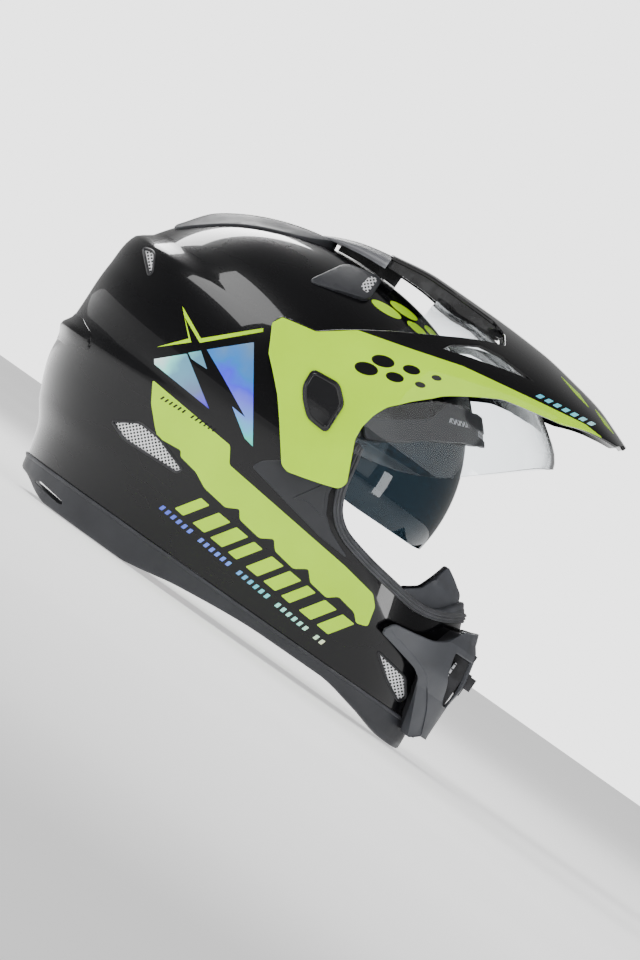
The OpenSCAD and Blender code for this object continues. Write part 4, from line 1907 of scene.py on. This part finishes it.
@dataclass
class ChinCover:
    """The grey cover over the chin bar, its band and its intake.

    Attributes:
        nose: how far it stands forward of the shell.
        thick: its wall thickness.
    """

    bench: Bench
    nose: float = 15.0
    thick: float = 2.6

    def relief(self, flat: Array) -> Array:
        """The cover's facets: a broad face with an upper and a lower one that fall away from it.

        Args:
            flat: plan angles and heights.

        Returns:
            How far the face stands off at each.
        """
        turn, z = np.abs(flat[:, 0]), flat[:, 1]
        top = 79 - 0.3 * np.clip(turn - 25, 0, 40)
        return -0.2 * np.clip(56 - z, 0, 40) - 0.4 * np.clip(z - top, 0, 20)

    def upper(self) -> list[tuple[float, float]]:
        """The upper edge of one side, as plan angles and heights."""
        return wrap(((108, 60), (112, 67), (127, 69.5), (139, 72), (146, 76.5), (154, 89)), self.nose) + [
            (8.0, 92.0), (0.0, 92.5)]

    def border(self) -> list[tuple[float, float]]:
        """The rear and lower edge of one side."""
        return wrap(((108.5, 58.5), (139, 51.8), (145, 48.0), (162, 12.6)), self.nose) + [
            (9.0, 12.4), (0.0, 12.4)]

    def groove(self) -> list[tuple[float, float]]:
        """The line between the face and the band behind it."""
        return wrap(((110.5, 63), (142, 55.4), (149, 51.5), (162, 34), (169, 18)), self.nose)

    def plate(self, name: str, loops: Sequence[Array], finish: Finish, high: float, *nodes: str) -> None:
        """Makes one closed plate on the cover's surface.

        Args:
            name: the piece.
            loops: its outline and holes.
            finish: its finish.
            high: how far its face stands off.
            nodes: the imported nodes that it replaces.
        """
        made = Panel(SHELL.from_plan_angle(self.nose), loops, high, high - self.thick, 0.6, 2.4,
                     closed=True, grain=PER_DEGREE, crown=self.relief).build(name)
        self.bench.mount(crisp(made, 9), name, "helmet", finish, *nodes)

    def shell(self) -> None:
        """Makes the face with its openings."""
        loop = both_halves(self.upper(), self.groove() + [(9.0, 17.4), (0.0, 17.4)], 2.0)
        mouth = ((13, 40.5), (13, 75), (49, 75), (46, 60), (26, 40.5))
        holes = [wrapped_loop(across([(s * y, z) for y, z in mouth]), 3) for s in (-1, 1)]
        holes.append(wrapped_loop(across(((-7.2, 44), (7.2, 44), (7.2, 76), (-7.2, 76))), 1))
        self.plate("chin_cover_face", [loop, *holes], TRIM, 1.2, "chin_cover")

    def band(self, side: Side) -> None:
        """Makes the band behind the face on one side.

        Args:
            side: the wearer's right or left.
        """
        inner = [(a + 0.35, z - 0.5) for a, z in self.groove()]
        outline = [(side.value * a, z) for a, z in self.border()[:4] + inner[::-1]]
        self.plate(f"chin_cover_band_{side.word}", [wrapped_loop(outline, 1.2)], TRIM, 1.2)

    def skirt(self) -> None:
        """Makes the dark wall that closes the cover onto the shell, and dark walls inside the intake as
        painted shade.
        """
        edge = both_halves(self.upper(), self.border(), 2.0)
        place = SHELL.from_plan_angle(self.nose)
        walls = []
        for offset in (-1.4, -3.2):
            flat = grown(edge * np.array([PER_DEGREE, 1.0]), offset) / np.array([PER_DEGREE, 1.0])
            top, normals = place(flat[:, 0], flat[:, 1])
            top = top + normals * (self.relief(flat)[:, None] - 0.8)
            along = 1 - smooth_step(np.abs(flat[:, 0]), 18, 38)
            inward = normals * np.stack([along] + [np.ones(len(flat))] * 2, 1)
            root = top.copy()
            for _ in range(46):
                outside = SHELL.fullness(*root.T) > 0.995
                root -= unit(inward) * 0.4 * outside[:, None]
            walls += [root, top] if offset > -2 else [top, root]
        bands = [np.array(ring) for ring in zip(*walls)]
        made = loft("skirt", bands + [bands[0]], caps=False)
        self.bench.mount(crisp(made, 30), "chin_cover_skirt", "helmet", COVER)
        # painted shade: two dark walls put inside the intake darken it behind the mouth openings
        shade_walls = [block((154, s * 12.2 - 0.9, 37), (169.3, s * 12.2 + 0.9, 80)) for s in (-1, 1)]
        self.bench.mount(merged(shade_walls), "chin_cover_shade_walls", "helmet", COVER)

    def build(self) -> None:
        """Makes every piece."""
        self.shell()
        self.skirt()
        for side in Side:
            self.band(side)
        self.bench.keep("chin_grille", MESH_FRONT)
        self.bench.keep("chin_vent_slider", COVER)


@dataclass
class BaseTrim:
    """The grey band round the shell's lower edge.

    Attributes:
        top: the height of its upper edge.
        foot: the height of its lower edge against x.
    """

    bench: Bench
    top: float = 20.8
    foot: Rows = field(default_factory=lambda: Rows(
        [(-180, 12), (-144, 9.6), (-128, 2.0), (-122, 0.2), (-58, 0.0), (-50, 1.0), (-13, 7.4), (48, 12.3),
         (91, 12.4), (123, 7), (148, 1.0), (156, 0.6), (170, 1.0)]))

    def build(self) -> None:
        """Makes the band with its rolled lip and rear slots."""
        count = 288
        rings = {z: SHELL.ring(z, 0, count=count) for z in range(0, 23)}
        loops = []
        for i in range(count):
            base = rings[20][i]
            low = float(self.foot(base[0]))
            out = SHELL.normals(base[None])[0]
            out[2] = 0
            out /= np.linalg.norm(out)
            section = ((-7.4, self.top - 0.4), (-6.8, self.top), (0.2, self.top), (1.2, self.top - 0.3),
                       (1.5, self.top - 1.2), (1.1, self.top - 2.2), (0.5, self.top - 2.6),
                       (0.5, self.top * 0.55 + low * 0.45), (0.45, self.top * 0.25 + low * 0.75),
                       (0.1, low + 1.4), (-0.8, low + 0.3), (-2.0, low), (-5.6, low),
                       (-7.0, low + 0.6), (-7.4, low + 1.8))
            loop = []
            for shift, z in section:
                k = max(0, min(22, z))
                a, b = rings[int(k)][i], rings[min(22, int(k) + 1)][i]
                point = a + (b - a) * (k - int(k))
                point[2] = z
                loop.append(point + out * shift)
            loops.append(np.array(loop))
        loops.append(loops[0])
        trim = loft("trim", loops, caps=False)
        slot = rounded(((-131, 8.0), (-128, 10.6), (-108, 8.4), (-107, 6.4), (-110, 5.6)), 1.2, 1.5)
        carve(trim, prism(slot))
        self.bench.mount(crisp(trim, 40), "base_trim_band", "helmet", BASE, "base_trim")


@dataclass
class Peak:
    """The peak with its two-tone paint, marks, centre fin and pivot covers.

    Attributes:
        thick: its wall thickness.
        cover: a pivot cover's outline.
        fin_foot: the height of the fin's lower edge against x.
    """

    bench: Bench
    thick: float = 2.6
    cover: Pairs = ((-25, 170), (-6, 172), (4, 163), (5, 142), (-10, 143), (-19, 151), (-24, 158))
    fin_foot: Rows = field(default_factory=lambda: Rows([(-70, 244.6), (-60, 247), (-40, 250), (-26, 251)]))

    def turn_over(self, x: float, y: float) -> float:
        """The angle over the arch at which the right side stands y from the middle."""
        return math.degrees(math.acos((y / float(PEAK.arm(x))) ** (PEAK.power / 2)))

    def turned(self, points: Pairs) -> list[tuple[float, float]]:
        """Turns side view x and z pairs into x and the angle over the arch."""
        return [(x, float(PEAK.turn_at(np.array(float(x)), np.array(float(z))))) for x, z in points]

    def outline(self) -> list[tuple[float, float]]:
        """The right half of the outline, as x and the angle over the arch, from the back to the tip.

        Returns:
            The corners.
        """
        out = [(x, self.turn_over(x, y)) for x, y in ((-26, 29), (20, 36), (52, 44), (63, 60), (67.5, 80))]
        side = ((62, 252), (49, 246), (33, 237), (11, 224), (-16, 207), (-37, 191), (-61, 186), (-63, 180),
                (-34, 144.5), (-6, 109.5), (-1, 108), (32, 118), (34, 123), (22, 149), (21, 158), (23, 169),
                (27, 178), (38, 190), (52, 204), (68, 215), (85, 225), (126, 234), (151, 242), (163, 243.6),
                (166.5, 246.2))
        return out + self.turned(side)

    def shell(self) -> None:
        """Makes the moulding with its side vents."""
        right = self.outline()
        tip = [(168.5, 45.0), (169.5, 70.0), (169.8, 90.0), (169.5, 110.0), (168.5, 135.0)]
        points = right + tip + [(x, 180 - t) for x, t in reversed(right)]
        vent = self.turned(((34, 228.3), (37, 234), (53, 244.9), (70, 247.6), (97, 245.8), (61, 236.6)))
        loops = [rounded(points, 1.6, 2.6), rounded(vent, 1.0, 2.0),
                 rounded([(x, 180 - t) for x, t in vent], 1.0, 2.0)]
        made = Panel(PEAK.mapping(), loops, 0.0, -self.thick, 0.7, 4.0, closed=True, grain=1.0).build("peak")
        self.bench.mount(made, "peak_shell", "peak", PEAK_PAINT, "peak")
        made.data.materials.append(self.bench.material(PEAK_BLACK))
        for face in made.data.polygons:
            middle = face.center - Vector((face.center.x, 0, 0.15))
            face.material_index = int(face.normal.dot(middle) < 0)

    def beam(self) -> None:
        """Makes the walls that stiffen the middle beam, one down each of its edges."""
        walls = []
        for s in (-1, 1):
            loops = []
            for x in np.linspace(-25.6, 62, 30):
                edge = float(np.interp(x, (-26, 20, 52, 63), (29, 36, 44, 58)))
                top = PEAK.point(np.array([x]), np.array([self.turn_over(x, edge)]))[0]
                deep = float(np.interp(x, (-26, 0, 30, 52, 62), (6, 9, 12, 9, 3)))
                y, z = abs(top[1]) - 1.5, top[2] - 1.6
                loops.append(np.array([[x, s * y, z], [x, s * (y - 1.8), z + 0.3],
                                       [x, s * (y - 2.6), z - deep], [x, s * (y - 1.2), z - deep]]))
            walls.append(loft("wall", loops))
        self.bench.mount(merged(walls), "peak_beam_walls", "peak", PEAK_BLACK)

    def mark(self, name: str, outline: Pairs, side: Side, finish: Finish, radius: float = 0.3) -> None:
        """Lays a mark on one side of the peak."""
        made = Panel(PEAK.from_side(side), [rounded(outline, radius, 2)], 0.16, -0.1, 0.08, 3).build(name)
        self.bench.mount(made, f"{name}_{side.word}", "peak", finish)

    def marks(self, side: Side) -> None:
        """Lays the marks of one side.

        Args:
            side: the wearer's right or left.
        """
        spots = (((2.5, 190), (7.6, 3.9)), ((8.5, 200), (7.4, 3.6)), ((20.5, 196), (5.8, 2.9)),
                 ((26.5, 206), (5.6, 2.7)), ((36.5, 201.4), (3.4, 1.7)), ((42.5, 211), (3.2, 1.6)))
        for i, (spot, size) in enumerate(spots):
            self.mark(f"peak_spot_{i + 1}", ellipse(spot, size, 20), side, PEAK_BLACK, 0.0)
        for i in range(7):
            x, z = 101 + i * 6.2, 238.4 + i * 0.85
            dash = ((x, z), (x + 3.4, z + 0.4), (x + 5.2, z + 3.2), (x + 1.8, z + 2.8))
            self.mark(f"peak_dash_{i + 1}", dash, side, PEAK_FOIL, 0.2)
        for i, patch in enumerate((((108, 259.2), (124, 256.8), (134, 253), (122, 255.2)),
                                   ((138, 254.6), (148, 252.4), (157, 248.6), (149, 250)))):
            self.mark(f"peak_patch_{i + 1}", patch, side, PEAK_YELLOW, 0.4)

    def pivot_cover(self, side: Side) -> None:
        """Makes one pivot cover with a raised border.

        Args:
            side: the wearer's right or left.
        """
        loop = rounded(self.cover, 2.5, 1.5)
        plate = Panel(flat_side(129.8, side), [loop], 1.1, 0.02, 0.6, 2.5, closed=True,
                      crown=lambda p: 0.35 * smooth_step(10 - np.hypot(p[:, 0] + 9, p[:, 1] - 157), -6, 8)
                      ).build("plate")
        self.bench.mount(plate, f"pivot_plate_{side.word}", "peak", PIVOT, f"pivot_cover_{side.word}")
        edge = rounded(grown(self.cover, -1.6), 2.2, 1.2)
        points, normals = flat_side(129.8, side)(edge[:, 0], edge[:, 1])
        bead = sweep("bead", points, normals, ((-1.0, 0.8), (-0.7, 1.5), (0.0, 1.8), (0.7, 1.5), (1.0, 0.8)),
                     closed=True)
        self.bench.mount(bead, f"pivot_bead_{side.word}", "peak", PIVOT)

    def fin(self) -> None:
        """Makes the centre fin behind the peak's ridge."""
        loops = []
        for x in np.linspace(-70, -25.2, 24):
            top, foot, w = float(PEAK.ridge(x)), float(self.fin_foot(x)), 12 + (x + 78) * 0.45
            a = np.radians(np.linspace(0, 180, 33))
            rise = (top - foot - 1) * np.sin(a) ** (2 / 2.2) * (0.86 + 0.14 * np.abs(np.cos(a)))
            y = -w * signed_power(np.cos(a), 0.8)
            z = foot + 1 + rise
            arc = np.stack([np.full(33, x), y, z], 1)
            loops.append(np.vstack([arc, [x, w, foot], [x, -w, foot]]))
        made = loft("fin", loops)
        self.bench.mount(crisp(made, 35), "peak_fin_shell", "peak", FIN, "peak_fin")

    def keel(self) -> None:
        """Makes the black web that fills the middle between the fin, the beam and the crown."""
        top, half, clear = SHELL.from_top(), 17.0, 1.0
        y = np.linspace(half, -half, 9)
        loops = []
        for x in np.linspace(-57, -13, 23):
            high = float(self.fin_foot(x)) + 1.5 if x < -27 else float(PEAK.ridge(x)) - 2.2
            under = top(np.full(len(y), x), y)[0] + (0, 0, clear)
            loops.append(np.vstack([under, [x, -half, high], [x, half, high]]))
        self.bench.mount(crisp(loft("keel", loops), 35), "peak_keel", "peak", PEAK_BLACK)

    def build(self) -> None:
        """Makes every piece."""
        self.shell()
        self.beam()
        self.fin()
        self.keel()
        for side in Side:
            self.marks(side)
            self.pivot_cover(side)
        self.bench.keep("pivot_posts", STEEL)


@dataclass
class Visors:
    """The clear shield and the tinted sun visor.

    Attributes:
        shield_side: the shield's outline in the side view.
        lens_side: the sun visor's outline in the side view.
    """

    bench: Bench
    shield_side: Pairs = (
        (-31, 158), (-26, 142), (-7, 134), (15, 139), (42, 144.5), (59, 149), (70, 154), (82, 160), (93, 169),
        (113, 186), (137, 207), (160, 220), (160, 270), (15, 270), (13, 234), (-10, 200), (-27, 172))
    lens_side: Pairs = (
        (-22, 124), (-12, 118), (42, 113.5), (94, 114.5), (100, 116), (130, 120), (130, 190), (72, 204),
        (40, 186), (4, 150), (-12, 148), (-22, 141))

    def cut(self, form: DiscForm, thick: float, outline: Pairs, radius: float,
            hole: float) -> bpy.types.Object:
        """Cuts a visor from a lens-shaped skin.

        Args:
            form: the surface.
            thick: the wall thickness.
            outline: its side outline.
            radius: the outline's corner radius.
            hole: the radius of its pivot holes.

        Returns:
            The visor.
        """
        body = loft("visor", form.loops(0))
        carve(body, loft("inside", form.loops(thick)))
        carve(body, prism(rounded(outline, radius, 3)), keep=True)
        carve(body, prism(np.array(ellipse((form.x, form.z), (hole, hole), 0, 48))))
        return face_normals_from(body, lambda p: self.normals(form, p), 0.8)

    def normals(self, form: DiscForm, points: Array) -> Array:
        """Unit normals of the surfaces that lie parallel to a form.

        Args:
            form: the form.
            points: points on or inside it.

        Returns:
            One unit vector a point.
        """

        def depth(p: Array) -> Array:
            """How full the form is at points.

            Args:
                p: points.

            Returns:
                One value a point.
            """
            r = np.hypot(p[:, 0] - form.x, p[:, 2] - form.z)
            q = form.reach(np.degrees(np.arctan2(p[:, 2] - form.z, p[:, 0] - form.x)))
            return (r / q) ** form.power + (np.abs(p[:, 1]) / form.half) ** form.power

        steps = np.eye(3) * 0.1
        n = np.stack([depth(points + s) - depth(points - s) for s in steps], 1)
        return unit(n)

    def build(self) -> None:
        """Makes both visors."""
        shield = self.cut(SHIELD, 2.2, self.shield_side, 9.0, 8.4)
        self.bench.mount(shield, "shield_lens", "shield", CLEAR, "clear_shield")
        lens = self.cut(LENS, 2.0, self.lens_side, 6.0, 4.3)
        self.bench.mount(lens, "sun_lens", "visor", TINT, "sun_visor")
        for side in Side:
            self.bench.keep(f"shield_plate_{side.word}", COVER)
        self.bench.keep("sun_visor_pins", COVER)
        self.bench.keep("sun_visor_slider", COVER)


@dataclass
class Padding:
    """The sewn pads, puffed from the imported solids.

    Attributes:
        voxel: the remesh size in metres.
        frames: the number of cloth steps.
        pressure: the cloth's inner pressure.
    """

    bench: Bench
    voxel: float = 0.005
    frames: int = 20
    pressure: float = 4.0

    def puffed(self, node: str, shrink: float, cap: float) -> bpy.types.Object:
        """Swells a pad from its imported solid.

        Args:
            node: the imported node.
            shrink: how far its surface first draws in, in metres.
            cap: the farthest that a point may then move, in metres.

        Returns:
            The pad.
        """
        pad = bpy.data.objects.new(node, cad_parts[node].data.copy())
        bpy.context.scene.collection.objects.link(pad)
        mod = pad.modifiers.new("remesh", "REMESH")
        mod.mode, mod.voxel_size = "VOXEL", self.voxel
        settle(pad)
        mesh = pad.data
        start = np.array([v.co - v.normal * shrink for v in mesh.vertices])
        mesh.vertices.foreach_set("co", start.ravel())
        mod = pad.modifiers.new("smooth", "SMOOTH")
        mod.factor, mod.iterations = 0.5, 4
        settle(pad)
        mesh = pad.data
        start = places(mesh)
        cloth = pad.modifiers.new("cloth", "CLOTH")
        cloth.settings.use_pressure = True
        cloth.settings.uniform_pressure_force = self.pressure
        cloth.settings.effector_weights.gravity = 0
        cloth.point_cache.frame_end = self.frames
        for step in range(1, self.frames + 1):
            bpy.context.scene.frame_set(step)
        settle(pad)
        mesh = pad.data
        shift = places(mesh) - start
        far = np.linalg.norm(shift, axis=1)
        shift *= np.minimum(1, cap / np.maximum(far, 1e-9))[:, None]
        mesh.vertices.foreach_set("co", (start + shift).ravel())
        bpy.context.scene.frame_set(1)
        mod = pad.modifiers.new("finer", "SUBSURF")
        mod.levels = mod.render_levels = 1
        return crisp(settle(pad), 180)

    def seam(self, pad: bpy.types.Object, points: Sequence[Sequence[float]],
             thick: float = 0.9) -> bpy.types.Object:
        """Lays a corded seam over a pad along the nearest surface to some points.

        Args:
            pad: the pad.
            points: rough points in millimetres.
            thick: the cord's radius.

        Returns:
            The seam.
        """
        path, normals = [], []
        for point in evenly(np.array(points, float), 3, 8):
            _, near, normal, _ = pad.closest_point_on_mesh(Vector(point * MM))
            path.append(np.array(near) / MM)
            normals.append(np.array(normal))
        path = np.array(path)
        for _ in range(2):
            path[1:-1] = (path[:-2] + path[1:-1] * 2 + path[2:]) / 4
        turns = np.radians(np.arange(0, 360, 45))
        section = tuple((thick * math.cos(a), thick * math.sin(a) * 0.8) for a in turns)
        return sweep("seam", path, np.array(normals), section)

    def cheek(self, side: Side) -> None:
        """Makes one cheek pad with its piping.

        Args:
            side: the wearer's right or left.
        """
        node = f"cheek_pad_{side.word}"
        pad = self.puffed(node, 0.0022, 0.005)
        self.bench.mount(pad, f"{node}_cover", "helmet", CLOTH, node)
        s = side.value
        upper = self.seam(pad, [(-24, s * 55, 92), (10, s * 58, 94), (40, s * 60, 88), (80, s * 52, 78)])
        lower = self.seam(pad, [(-24, s * 55, 48), (20, s * 58, 46), (60, s * 56, 46), (92, s * 50, 50)])
        self.bench.mount(merged([upper, lower]), f"{node}_piping", "helmet", PIPING)

    def crown(self) -> None:
        """Makes the crown liner with its quilting seams."""
        pad = self.puffed("crown_liner", 0.0018, 0.003)
        self.bench.mount(pad, "crown_liner_cover", "helmet", CLOTH, "crown_liner")
        seams = []
        for y in (-40, 0, 40):
            over = ((-110, 130), (-90, 175), (-50, 195), (0, 195), (40, 185))
            seams.append(self.seam(pad, [(x, y, z) for x, z in over]))
        for s in (-1, 1):
            seams.append(self.seam(pad, [(-100, s * 50, 110), (-60, s * 70, 120), (-30, s * 75, 120)]))
        self.bench.mount(merged(seams), "crown_liner_seams", "helmet", PIPING)

    def neck(self) -> None:
        """Makes the neck roll."""
        pad = self.puffed("neck_roll", 0.0018, 0.0035)
        self.bench.mount(pad, "neck_roll_cover", "helmet", CLOTH, "neck_roll")

    def curtain(self) -> None:
        """Makes the stretched curtain under the chin."""
        outer = [SHELL.ring(18, 9.5, count=240)[i] for i in range(-52, 53)]
        inner = [SHELL.ring(18, 40, count=240)[i] for i in range(-52, 53)]
        rows = []
        for t in np.linspace(0, 1, 14):
            row = np.array([o * (1 - t) + n * t for o, n in zip(outer, inner)])
            row[:, 2] = 17.8 - 1.1 * math.sin(math.pi * t) + 0.25 * np.sin(np.arange(len(row)) * 0.9) * t
            rows.append(row)
        top = np.concatenate(rows)
        bottom = top - np.array([0, 0, 0.9])
        n, m = len(outer), len(rows)
        quads = [(j * n + i, j * n + i + 1, (j + 1) * n + i + 1, (j + 1) * n + i)
                 for j in range(m - 1) for i in range(n - 1)]
        back = [tuple(v + len(top) for v in reversed(q)) for q in quads]
        rim = list(range(n)) + [j * n + n - 1 for j in range(1, m)]
        rim += [(m - 1) * n + i for i in range(n - 2, -1, -1)] + [j * n for j in range(m - 2, 0, -1)]
        walls = [(rim[i], rim[(i + 1) % len(rim)], rim[(i + 1) % len(rim)] + len(top), rim[i] + len(top))
                 for i in range(len(rim))]
        made = to_object("curtain", np.concatenate([top, bottom]), quads + back + walls)
        self.bench.mount(made, "chin_curtain_cloth", "helmet", CLOTH, "chin_curtain")

    def build(self) -> None:
        """Makes every piece."""
        for side in Side:
            self.cheek(side)
        self.crown()
        self.neck()
        self.curtain()
        self.bench.keep("eps_crown", FOAM)
        self.bench.keep("eps_chin", FOAM)


@dataclass
class Strap:
    """The chin strap's two halves and its buckle.

    Attributes:
        x: the strap's place along X.
        width: the webbing's width.
        thick: the webbing's thickness.
        reach: how far each half reaches towards the middle.
    """

    bench: Bench
    x: float = -20.0
    width: float = 21.6
    thick: float = 1.8
    reach: dict[Side, float] = field(default_factory=lambda: {Side.RIGHT: 14.0, Side.LEFT: 26.0})

    def half(self, side: Side) -> None:
        """Makes one half of the strap with its stitch rows.

        Args:
            side: the wearer's right or left.
        """
        s = side.value
        bends = np.array([(103.2, 56), (103.2, 33.8), (92.8, 27), (60, 25), (self.reach[side], 25)], float)
        path = rounded_path(bends, 6.0, 2.0)
        points = np.stack([np.full(len(path), self.x), s * path[:, 0], path[:, 1]], 1)
        ahead = np.gradient(points, axis=0)
        normals = unit(np.cross(ahead, [1.0, 0, 0]))
        w, t = self.width / 2, self.thick / 2
        section = ((-w, -t * 0.6), (-w, t * 0.6), (-w + 0.5, t), (w - 0.5, t), (w, t * 0.6), (w, -t * 0.6),
                   (w - 0.5, -t), (-w + 0.5, -t))
        made = sweep("strap", points, normals, section)
        self.bench.mount(made, f"strap_webbing_{side.word}", "helmet", WEBBING, f"strap_{side.word}")
        stitches = []
        for offset in (-w + 2.2, w - 2.2):
            for i in range(len(points) // 3, len(points) - 2, 2):
                a, b = points[i], points[i] + (points[i + 1] - points[i]) * 0.8
                piece = np.array([a, (a + b) / 2, b]) + np.array([offset, 0, 0])
                stitches.append(sweep("stitch", piece, normals[[i, i, i]],
                                      ((-0.25, t - 0.1), (-0.2, t + 0.2), (0.2, t + 0.2), (0.25, t - 0.1))))
        self.bench.mount(merged(stitches), f"strap_stitches_{side.word}", "helmet", PIPING)

    def build(self) -> None:
        """Makes every piece."""
        for side in Side:
            self.half(side)
        for node in ("strap_rivets", "buckle_body", "buckle_tongue"):
            self.bench.keep(node, STEEL)
        self.bench.keep("buckle_lever", RED)


def rounded_path(points: Array, radius: float, step: float) -> Array:
    """Rounds an open path's corners and spaces its points evenly.

    Args:
        points: the path's corners.
        radius: the corner radius.
        step: the spacing.

    Returns:
        The path's points.
    """
    out = [points[0]]
    for before, here, after in zip(points[:-2], points[1:-1], points[2:]):
        a, b = before - here, after - here
        la, lb = np.linalg.norm(a), np.linalg.norm(b)
        cut = min(radius, la * 0.45, lb * 0.45)
        start, end = here + a / la * cut, here + b / lb * cut
        out += [(1 - t) ** 2 * start + 2 * t * (1 - t) * here + t * t * end for t in np.linspace(0, 1, 7)]
    out.append(points[-1])
    return evenly(np.array(out), step)


@dataclass
class Studio:
    """The pale room, the soft lights and the camera.

    Attributes:
        target: the point the camera looks at, in millimetres.
        roll: how far the camera is rolled, in degrees.
        distance: the camera's distance in metres.
        lens: its focal length.
        bright: the strength of the pale wall behind the helmet.
        dim: the rest of the room's brightness as a share of the wall's.
        floor_glow: the floor's own light.
    """

    target: tuple[float, float, float] = (19.3, 0.0, 115.1)
    roll: float = 35.2
    distance: float = 6.0
    lens: float = 346.0
    bright: float = 3.0
    dim: float = 0.09
    floor_glow: float = 0.75

    def light(self, name: str, place: Sequence[float], size: Sequence[float], power: float) -> None:
        """Adds a rectangular light aimed at the helmet.

        Args:
            name: the light.
            place: where it hangs, in metres.
            size: its sides, in metres.
            power: watts.
        """
        data = bpy.data.lights.new(name, "AREA")
        data.shape = "RECTANGLE"
        data.size, data.size_y = size
        data.energy = power
        obj = bpy.data.objects.new(name, data)
        bpy.context.scene.collection.objects.link(obj)
        obj.location = place
        aim = Vector((0.02, 0, 0.13)) - Vector(place)
        obj.rotation_mode = "QUATERNION"
        obj.rotation_quaternion = aim.to_track_quat("-Z", "Y")

    def build(self) -> None:
        """Makes the room, the lights and the camera."""
        bpy.ops.mesh.primitive_plane_add(size=14, location=(0, 0, -0.0005))
        floor = bpy.context.object
        floor.name = "studio_floor"
        tree = Tree("studio_floor")
        tone = tree.ramp(tree.noise(2, 2), (0.3, (0.88, 0.88, 0.88)), (0.7, (0.92, 0.92, 0.92)))
        tree.set(Base_Color=tone, Roughness=0.9, Emission_Color=tone, Emission_Strength=self.floor_glow)
        floor.data.materials.append(tree.material)
        world = bpy.data.worlds.new("room")
        bpy.context.scene.world = world
        world.use_nodes = True
        sky = world.node_tree
        glow = sky.nodes["Background"]
        place = sky.nodes.new("ShaderNodeTexCoord")
        parts = sky.nodes.new("ShaderNodeSeparateXYZ")
        ramp = sky.nodes.new("ShaderNodeValToRGB")
        sky.links.new(place.outputs["Generated"], parts.inputs[0])
        sky.links.new(parts.outputs["Y"], ramp.inputs["Fac"])
        sky.links.new(ramp.outputs["Color"], glow.inputs["Color"])
        marks = ramp.color_ramp.elements
        marks[0].position, marks[1].position = 0.984, 0.995
        marks[0].color, marks[1].color = (self.dim,) * 3 + (1,), (1, 1, 1, 1)
        glow.inputs["Strength"].default_value = self.bright
        self.light("key", (-1.3, -0.9, 1.6), (1.5, 1.0), 40)
        self.light("fill", (1.2, -2.3, 1.3), (2.4, 2.4), 34)
        self.light("side", (1.7, -0.9, -0.02), (0.3, 1.0), 14)
        self.light("rim", (-0.9, 1.3, 1.2), (1.2, 0.4), 26)
        a = math.radians(self.roll)
        right = Vector((math.cos(a), 0, math.sin(a)))
        up = Vector((-math.sin(a), 0, math.cos(a)))
        back = Vector((0, -1, 0))
        data = bpy.data.cameras.new("camera")
        data.lens = self.lens
        camera = bpy.data.objects.new("camera", data)
        bpy.context.scene.collection.objects.link(camera)
        where = Vector([v * MM for v in self.target]) + back * self.distance
        turn = Matrix((right, up, back)).transposed().to_4x4()
        camera.matrix_world = Matrix.Translation(where) @ turn
        bpy.context.scene.camera = camera


def main() -> None:
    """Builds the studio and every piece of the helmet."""
    logging.basicConfig(level=logging.INFO, format="%(message)s")
    bench = Bench()
    Studio().build()
    ShellAssembly(bench).build()
    Vents(bench).build()
    PortTrim(bench).build()
    ChinCover(bench).build()
    BaseTrim(bench).build()
    Peak(bench).build()
    Visors(bench).build()
    Padding(bench).build()
    Strap(bench).build()


if __name__ == "__main__":
    main()
